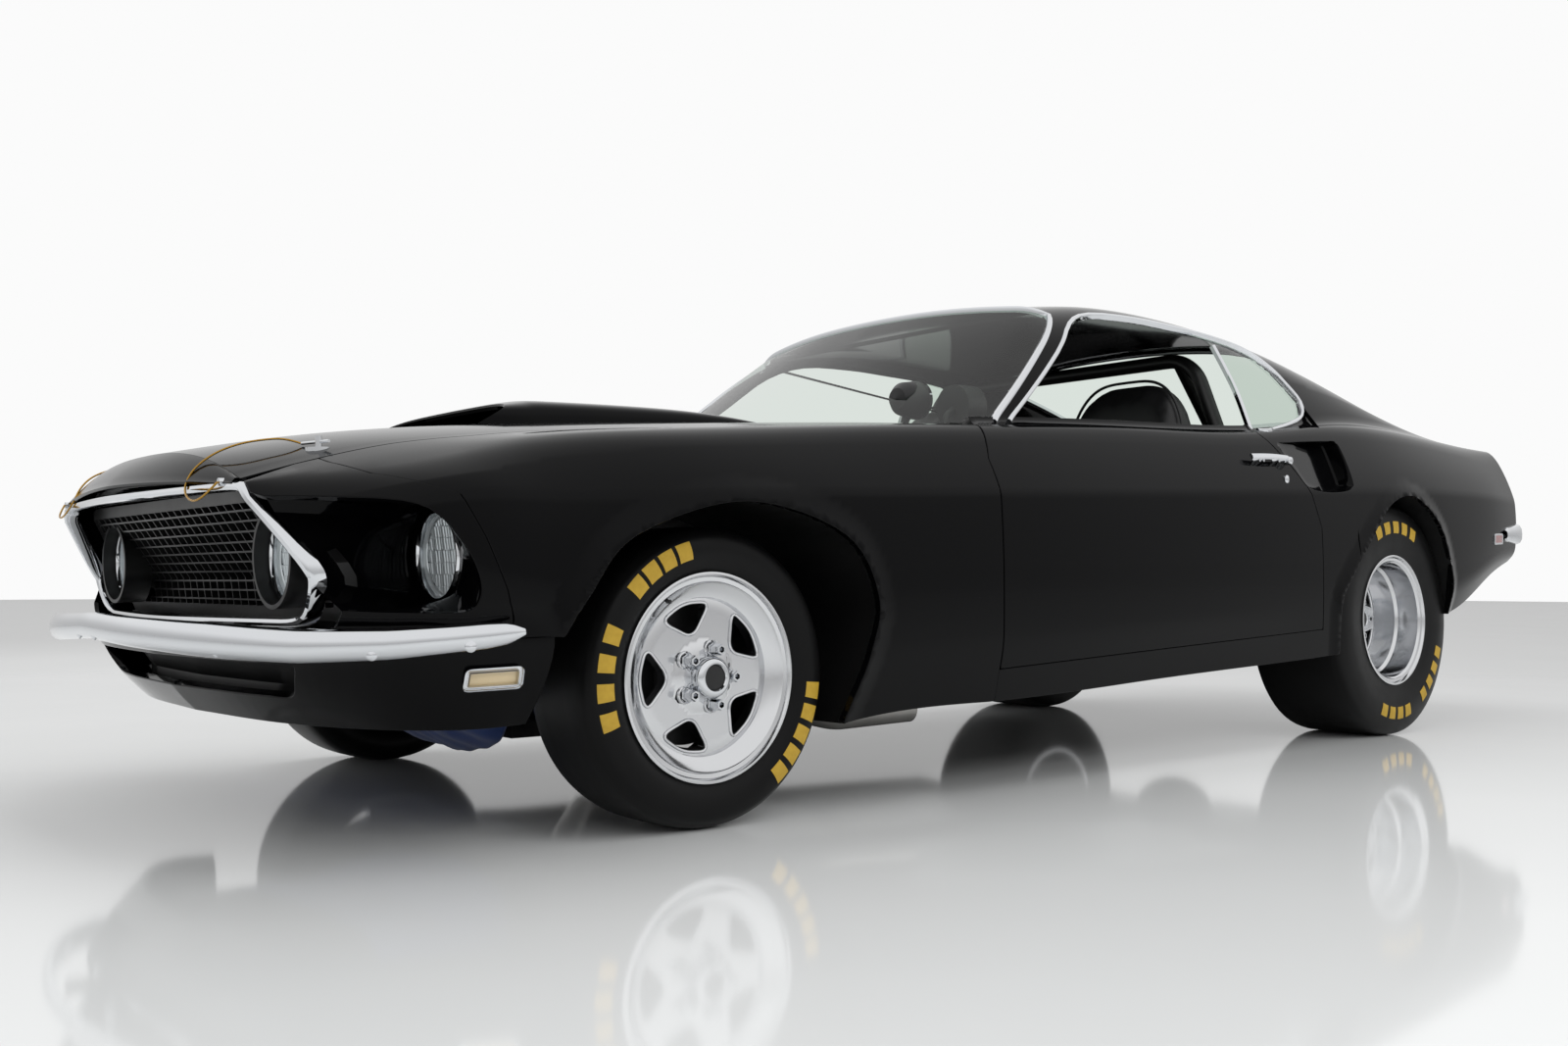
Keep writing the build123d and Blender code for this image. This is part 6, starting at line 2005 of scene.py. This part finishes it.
@dataclass
class Wheel:
    """Polished wheel with five windows, for the left side, about its axle.

    Attributes:
        end: "front" or "rear".
        lip: Half width y of the outer lip.
        back: Half width y of the inner lip.
        dish: Depth of the face below the outer lip.
        rim_r: Radius of both lips.
        seat_r: Radius of the tyre's seats.
        well_r: Radius of the drop centre.
        nut_r: Radius of the circle of nuts.
        cap_out: How far the cap's foot stands off the face.
        slope: Line of the barrel between the outer lip and the face, as (y, r).
    """

    end: str
    lip: float
    back: float
    dish: float
    rim_r: float = 207.5
    seat_r: float = 192.0
    well_r: float = 183.0
    nut_r: float = 57.15
    cap_out: float = 8.0
    slope: tuple = ()

    def face_y(self) -> float:
        """Gives the half width y of the face."""
        return self.lip - self.dish

    def nut_spots(self) -> list[tuple[float, float]]:
        """Gives the middles of the five nuts as (x, z)."""
        turns = [2 * math.pi * (k + 0.5) / 5 for k in range(5)]
        return [(self.nut_r * math.cos(a), self.nut_r * math.sin(a)) for a in turns]

    def rim(self) -> Shape:
        """Gives the barrel with its flanges and the stepped outer lip."""
        f, r, s, face = self.lip, self.rim_r, self.seat_r, self.face_y()
        outer = [(self.back, r), (self.back + 6, r), (self.back + 9, s + 5), (self.back + 16, s),
                 (f - 18, s), (f - 9, s + 5), (f - 6, r), (f - 1, r), (f, r - 2)]
        inner = [(f, r - 6), (f - 3, r - 8), (f - 7, r - 10), (f - 9, r - 18), (f - 12, r - 20),
                 (f - 15, r - 24), *self.slope, (face + 3, 158), (face - 6, 157), (face - 18, 168),
                 (face - 30, self.well_r), (self.back + 12, self.well_r), (self.back, s + 2)]
        return spun(outer + inner, (0, 0, 0), 144)

    def openings(self) -> list[Outline]:
        """Gives the five rounded windows as (x, z) loops; one points to the front."""
        loops = []
        for k in range(5):
            turn = 2 * math.pi * k / 5
            corners = []
            for r, deg in ((80, 0), (150, 25), (153, 0), (150, -25)):
                angle = turn + math.radians(deg)
                corners.append((r * math.cos(angle), r * math.sin(angle)))
            loops.append(rounded(corners, 26.0, 7))
        return loops

    def face(self) -> Shape:
        """Gives the pierced face."""
        edge_r = 162
        edge = [(edge_r * math.cos(a), edge_r * math.sin(a))
                for a in np.linspace(0, 2 * math.pi, 90, endpoint=False)]
        return trimmed(WheelFace(self.face_y()), edge, self.openings(), level=Level.FINE.value, roll=3.0,
                       depth=19.0)

    def beads(self) -> Shape:
        """Gives the raised rims of the windows and of the nut pockets."""
        form = WheelFace(self.face_y())
        made = []
        for loop in self.openings():
            flat = np.array(dense(loop, 6.0))
            path = form.point(flat[:, 0], flat[:, 1])
            made.append(swept(path, crowned(7.0, 4.0), form.normal(flat[:, 0], flat[:, 1]), closed=True))
        for x, z in self.nut_spots():
            y = float(form.point(np.array([x]), np.array([z]))[0, 1])
            made.append(spun([(-1, 13), (3, 14), (4.5, 16), (3, 18), (-1, 19)], (x, y, z), 28, full=False))
        return made[0].joined(*made[1:])

    def nuts(self) -> Shape:
        """Gives five long open nuts on the face."""
        profile = [(0, 13), (8, 13), (10, 11.5), (34, 11.5), (37, 10), (37, 6.5), (12, 6.5), (12, 0.5)]
        made = [spun(profile, (x, self.face_y() + 3, z), 6, full=False) for x, z in self.nut_spots()]
        return made[0].joined(*made[1:])

    def ring_cap(self) -> Shape:
        """Gives the bright ring of the centre cap."""
        profile = [(-4, 44), (18, 43), (28, 41), (34, 37), (37, 31), (37, 27), (34, 25), (-4, 25)]
        return spun(profile, (0, self.face_y() + self.cap_out, 0), 64)

    def cap_disc(self) -> Shape:
        """Gives the bare black disc in the centre cap."""
        profile = [(31, 26), (33.5, 23), (34.5, 14), (35, 0.5)]
        return spun(profile, (0, self.face_y() + self.cap_out, 0), 64, full=False)

    def brake(self) -> Shape:
        """Gives the brake disc behind the face."""
        y = self.face_y() - 62
        return spun([(y, 140), (y, 74), (y + 6, 70), (y + 6, 40)], (0, 0, 0), 64, full=False)

    def valve(self) -> Shape:
        """Gives the tyre valve on the barrel."""
        turn = math.radians(57)
        y = self.lip - min(self.dish, 44) + 2
        return spun([(-14, 6), (4, 6), (5, 4), (22, 4), (23, 3), (23, 0.5)],
                    (178 * math.cos(turn), y, 178 * math.sin(turn)), 16, full=False)

    def build(self, x: float, z: float) -> None:
        """Makes the left and the right wheel.

        Args:
            x: Station of the axle.
            z: Height of the axle.
        """
        for part, shape, finish in (("rim", self.rim(), ALUMINIUM), ("face", self.face(), ALUMINIUM),
                                    ("window_beads", self.beads(), ALUMINIUM),
                                    ("nuts", self.nuts(), CHROME),
                                    ("cap_ring", self.ring_cap(), CHROME),
                                    ("cap_disc", self.cap_disc(), MOULDED),
                                    ("brake_disc", self.brake(), CAST), ("valve", self.valve(), SEAL)):
            pair(f"{self.end}_wheel_{part}", shape.moved((x, 0.0, z)), finish,
                 f"running_{self.end}_{{side}}", place=standing,
                 replaces=[f"wheel_{self.end}_{{side}}"] if part == "rim" else [])


@dataclass
class Tyre:
    """Slick tyre with plain yellow marks, for the left side, about its axle.

    Attributes:
        end: "front" or "rear".
        radius: Radius of the tread's middle.
        mid: Half width y of its middle plane.
        width: Section width.
        lips: y of the rim's inner and outer lip.
        marks: Yellow marks as (angle, span) in degrees, from +X towards +Z.
        mark_r: Inner and outer radius of the marks.
    """

    end: str
    radius: float
    mid: float
    width: float
    lips: tuple[float, float]
    marks: tuple[tuple[float, float], ...]
    mark_r: tuple[float, float]

    def wall(self) -> list[tuple[float, float]]:
        """Gives the outer side wall from bead to tread as (y, r)."""
        half, r, lip = self.width / 2, self.radius, self.lips[1] - self.mid
        high = r - 200
        return [(lip - 14, 194), (lip - 7, 201), (lip - 5, 209),
                (lip + 0.35 * (half - lip) - 4, 200 + high * 0.16), (half - 4, 200 + high * 0.3),
                (half, 200 + high * 0.5), (half - 1.5, 200 + high * 0.66), (half - 6, 200 + high * 0.79),
                (half - 15, r - 12), (half - 26, r - 5), (half - 44, r - 1)]

    def body(self) -> Shape:
        """Gives the smooth slick tyre, with its foot pressed flat on the floor."""
        wall = [tuple(p) for p in smooth(self.wall(), 3)]
        shift = self.lips[0] + self.lips[1] - 2 * self.mid
        other = [(-y + (shift if q < 215 else 0), q) for y, q in reversed(wall)]
        tread = [(wall[-1][0] * t, self.radius) for t in (0.6, 0.0, -0.6)]
        shape = spun([(self.mid + y, q) for y, q in wall + tread + other], (0, 0, 0), 192)
        shape.points[:, 2] = np.maximum(shape.points[:, 2], -self.radius + 0.2)
        return shape

    def mark(self, angle: float, span: float) -> Shape:
        """Gives one raised yellow mark on the side wall."""
        wall = np.array([tuple(p) for p in smooth(self.wall(), 3)])
        order = np.argsort(wall[:, 1])
        low, high = self.mark_r
        rings = []
        count = max(3, int(span / 1.2))
        for r, rise in ((low, -0.6), (low, 0.9), *[(low + (high - low) * i / 8, 1.0) for i in range(1, 8)],
                        (high, 0.9), (high, -0.6)):
            y = self.mid + float(np.interp(r, wall[order, 1], wall[order, 0])) + rise
            turns = [math.radians(angle + span * (i / count - 0.5)) for i in range(count + 1)]
            rings.append(np.array([(r * math.cos(a), y, r * math.sin(a)) for a in turns]))
        return lofted(rings, closed=False).flipped()

    def build(self, x: float, z: float) -> None:
        """Makes the left and the right tyre.

        Args:
            x: Station of the axle.
            z: Height of the axle.
        """
        at, body = (x, 0.0, z), f"running_{self.end}_{{side}}"
        pair(f"{self.end}_tyre_body", self.body().moved(at), RUBBER, body, place=standing, sharp_deg=28.0,
             replaces=[f"tyre_{self.end}_{{side}}"])
        marks = [self.mark(angle, span) for angle, span in self.marks]
        pair(f"{self.end}_tyre_marks", marks[0].joined(*marks[1:]).moved(at), TYRE_YELLOW, body,
             place=standing)


def build_wheels() -> None:
    """Makes the four wheels and tyres; the rear ones are taller and wider."""
    Wheel("front", lip=813.0, back=603.0, dish=34.0,
          slope=((790, 174), (784, 163))).build(FRONT_AXLE_X, FRONT_HUB_Z)
    Wheel("rear", lip=838.0, back=534.0, dish=150.0,
          slope=((760, 178), (752, 170), (708, 168))).build(REAR_AXLE_X, REAR_HUB_Z)
    front_marks = (-16, -4, 8, 20, 44, 53.5, 63, 72.5, 188, 198.5, 209, 219.5, 230)
    rear_marks = (68, 79, 90, 101, 112, 202, 213, 224, 235, 258, 268, 278, 288)
    Tyre("front", FRONT_HUB_Z, mid=708.0, width=232.0, lips=(603.0, 813.0), mark_r=(238.0, 274.0),
         marks=tuple((a, 7.5) for a in front_marks)).build(FRONT_AXLE_X, FRONT_HUB_Z)
    Tyre("rear", REAR_HUB_Z, mid=686.0, width=318.0, lips=(534.0, 838.0), mark_r=(278.0, 316.0),
         marks=tuple((a, 7.0) for a in rear_marks)).build(REAR_AXLE_X, REAR_HUB_Z)


# ---- carried-over nodes ----


CARRIED = {
    PAINT: ("tail_panel",),
    SATIN: ("floor_pan", "front_frame", "roll_cage", "grille_mesh"),
    CAST: ("engine_block", "driveline", "rear_axle", "front_suspension", "knuckle_left", "knuckle_right",
           "fuel_tank"),
    TUBE: ("exhaust_pipes",),
    CHROME: ("hood_pins",),
    MOULDED: ("dashboard", "steering_wheel"),
    RED_LENS: ("tail_lamps",),
}


def dress_nodes(nodes: dict) -> None:
    """Gives every CAD node that stays its finish.

    Args:
        nodes: Blender object by node name.
    """
    for finish, names in CARRIED.items():
        for name in names:
            for holder in nodes[name].material_slots:
                holder.material = finish.build()
            LOG.info("%s: %s", name, finish.name)


def main() -> None:
    """Builds the scene in order."""
    logging.basicConfig(level=logging.INFO, format="%(message)s")
    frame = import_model()
    Studio().build()
    Lanyards().build()
    shell = BodyShell()
    shell.build()
    FrontEnd().build()
    LampCove(shell.nose).build()
    build_valance()
    HoodScoop(shell.nose).build()
    Brightwork(shell.cabin, shell).build()
    Liners(shell).build()
    RearBumper().build()
    Glazing(shell.cabin, shell).build()
    Markers().build(ValanceForm(), shell.cabin)
    OilCloth().build()
    Seats().build()
    Tachometer().build()
    build_wheels()
    dress_nodes(frame["nodes"])
    LOG.info("sizes written")


if __name__ == "__main__":
    main()
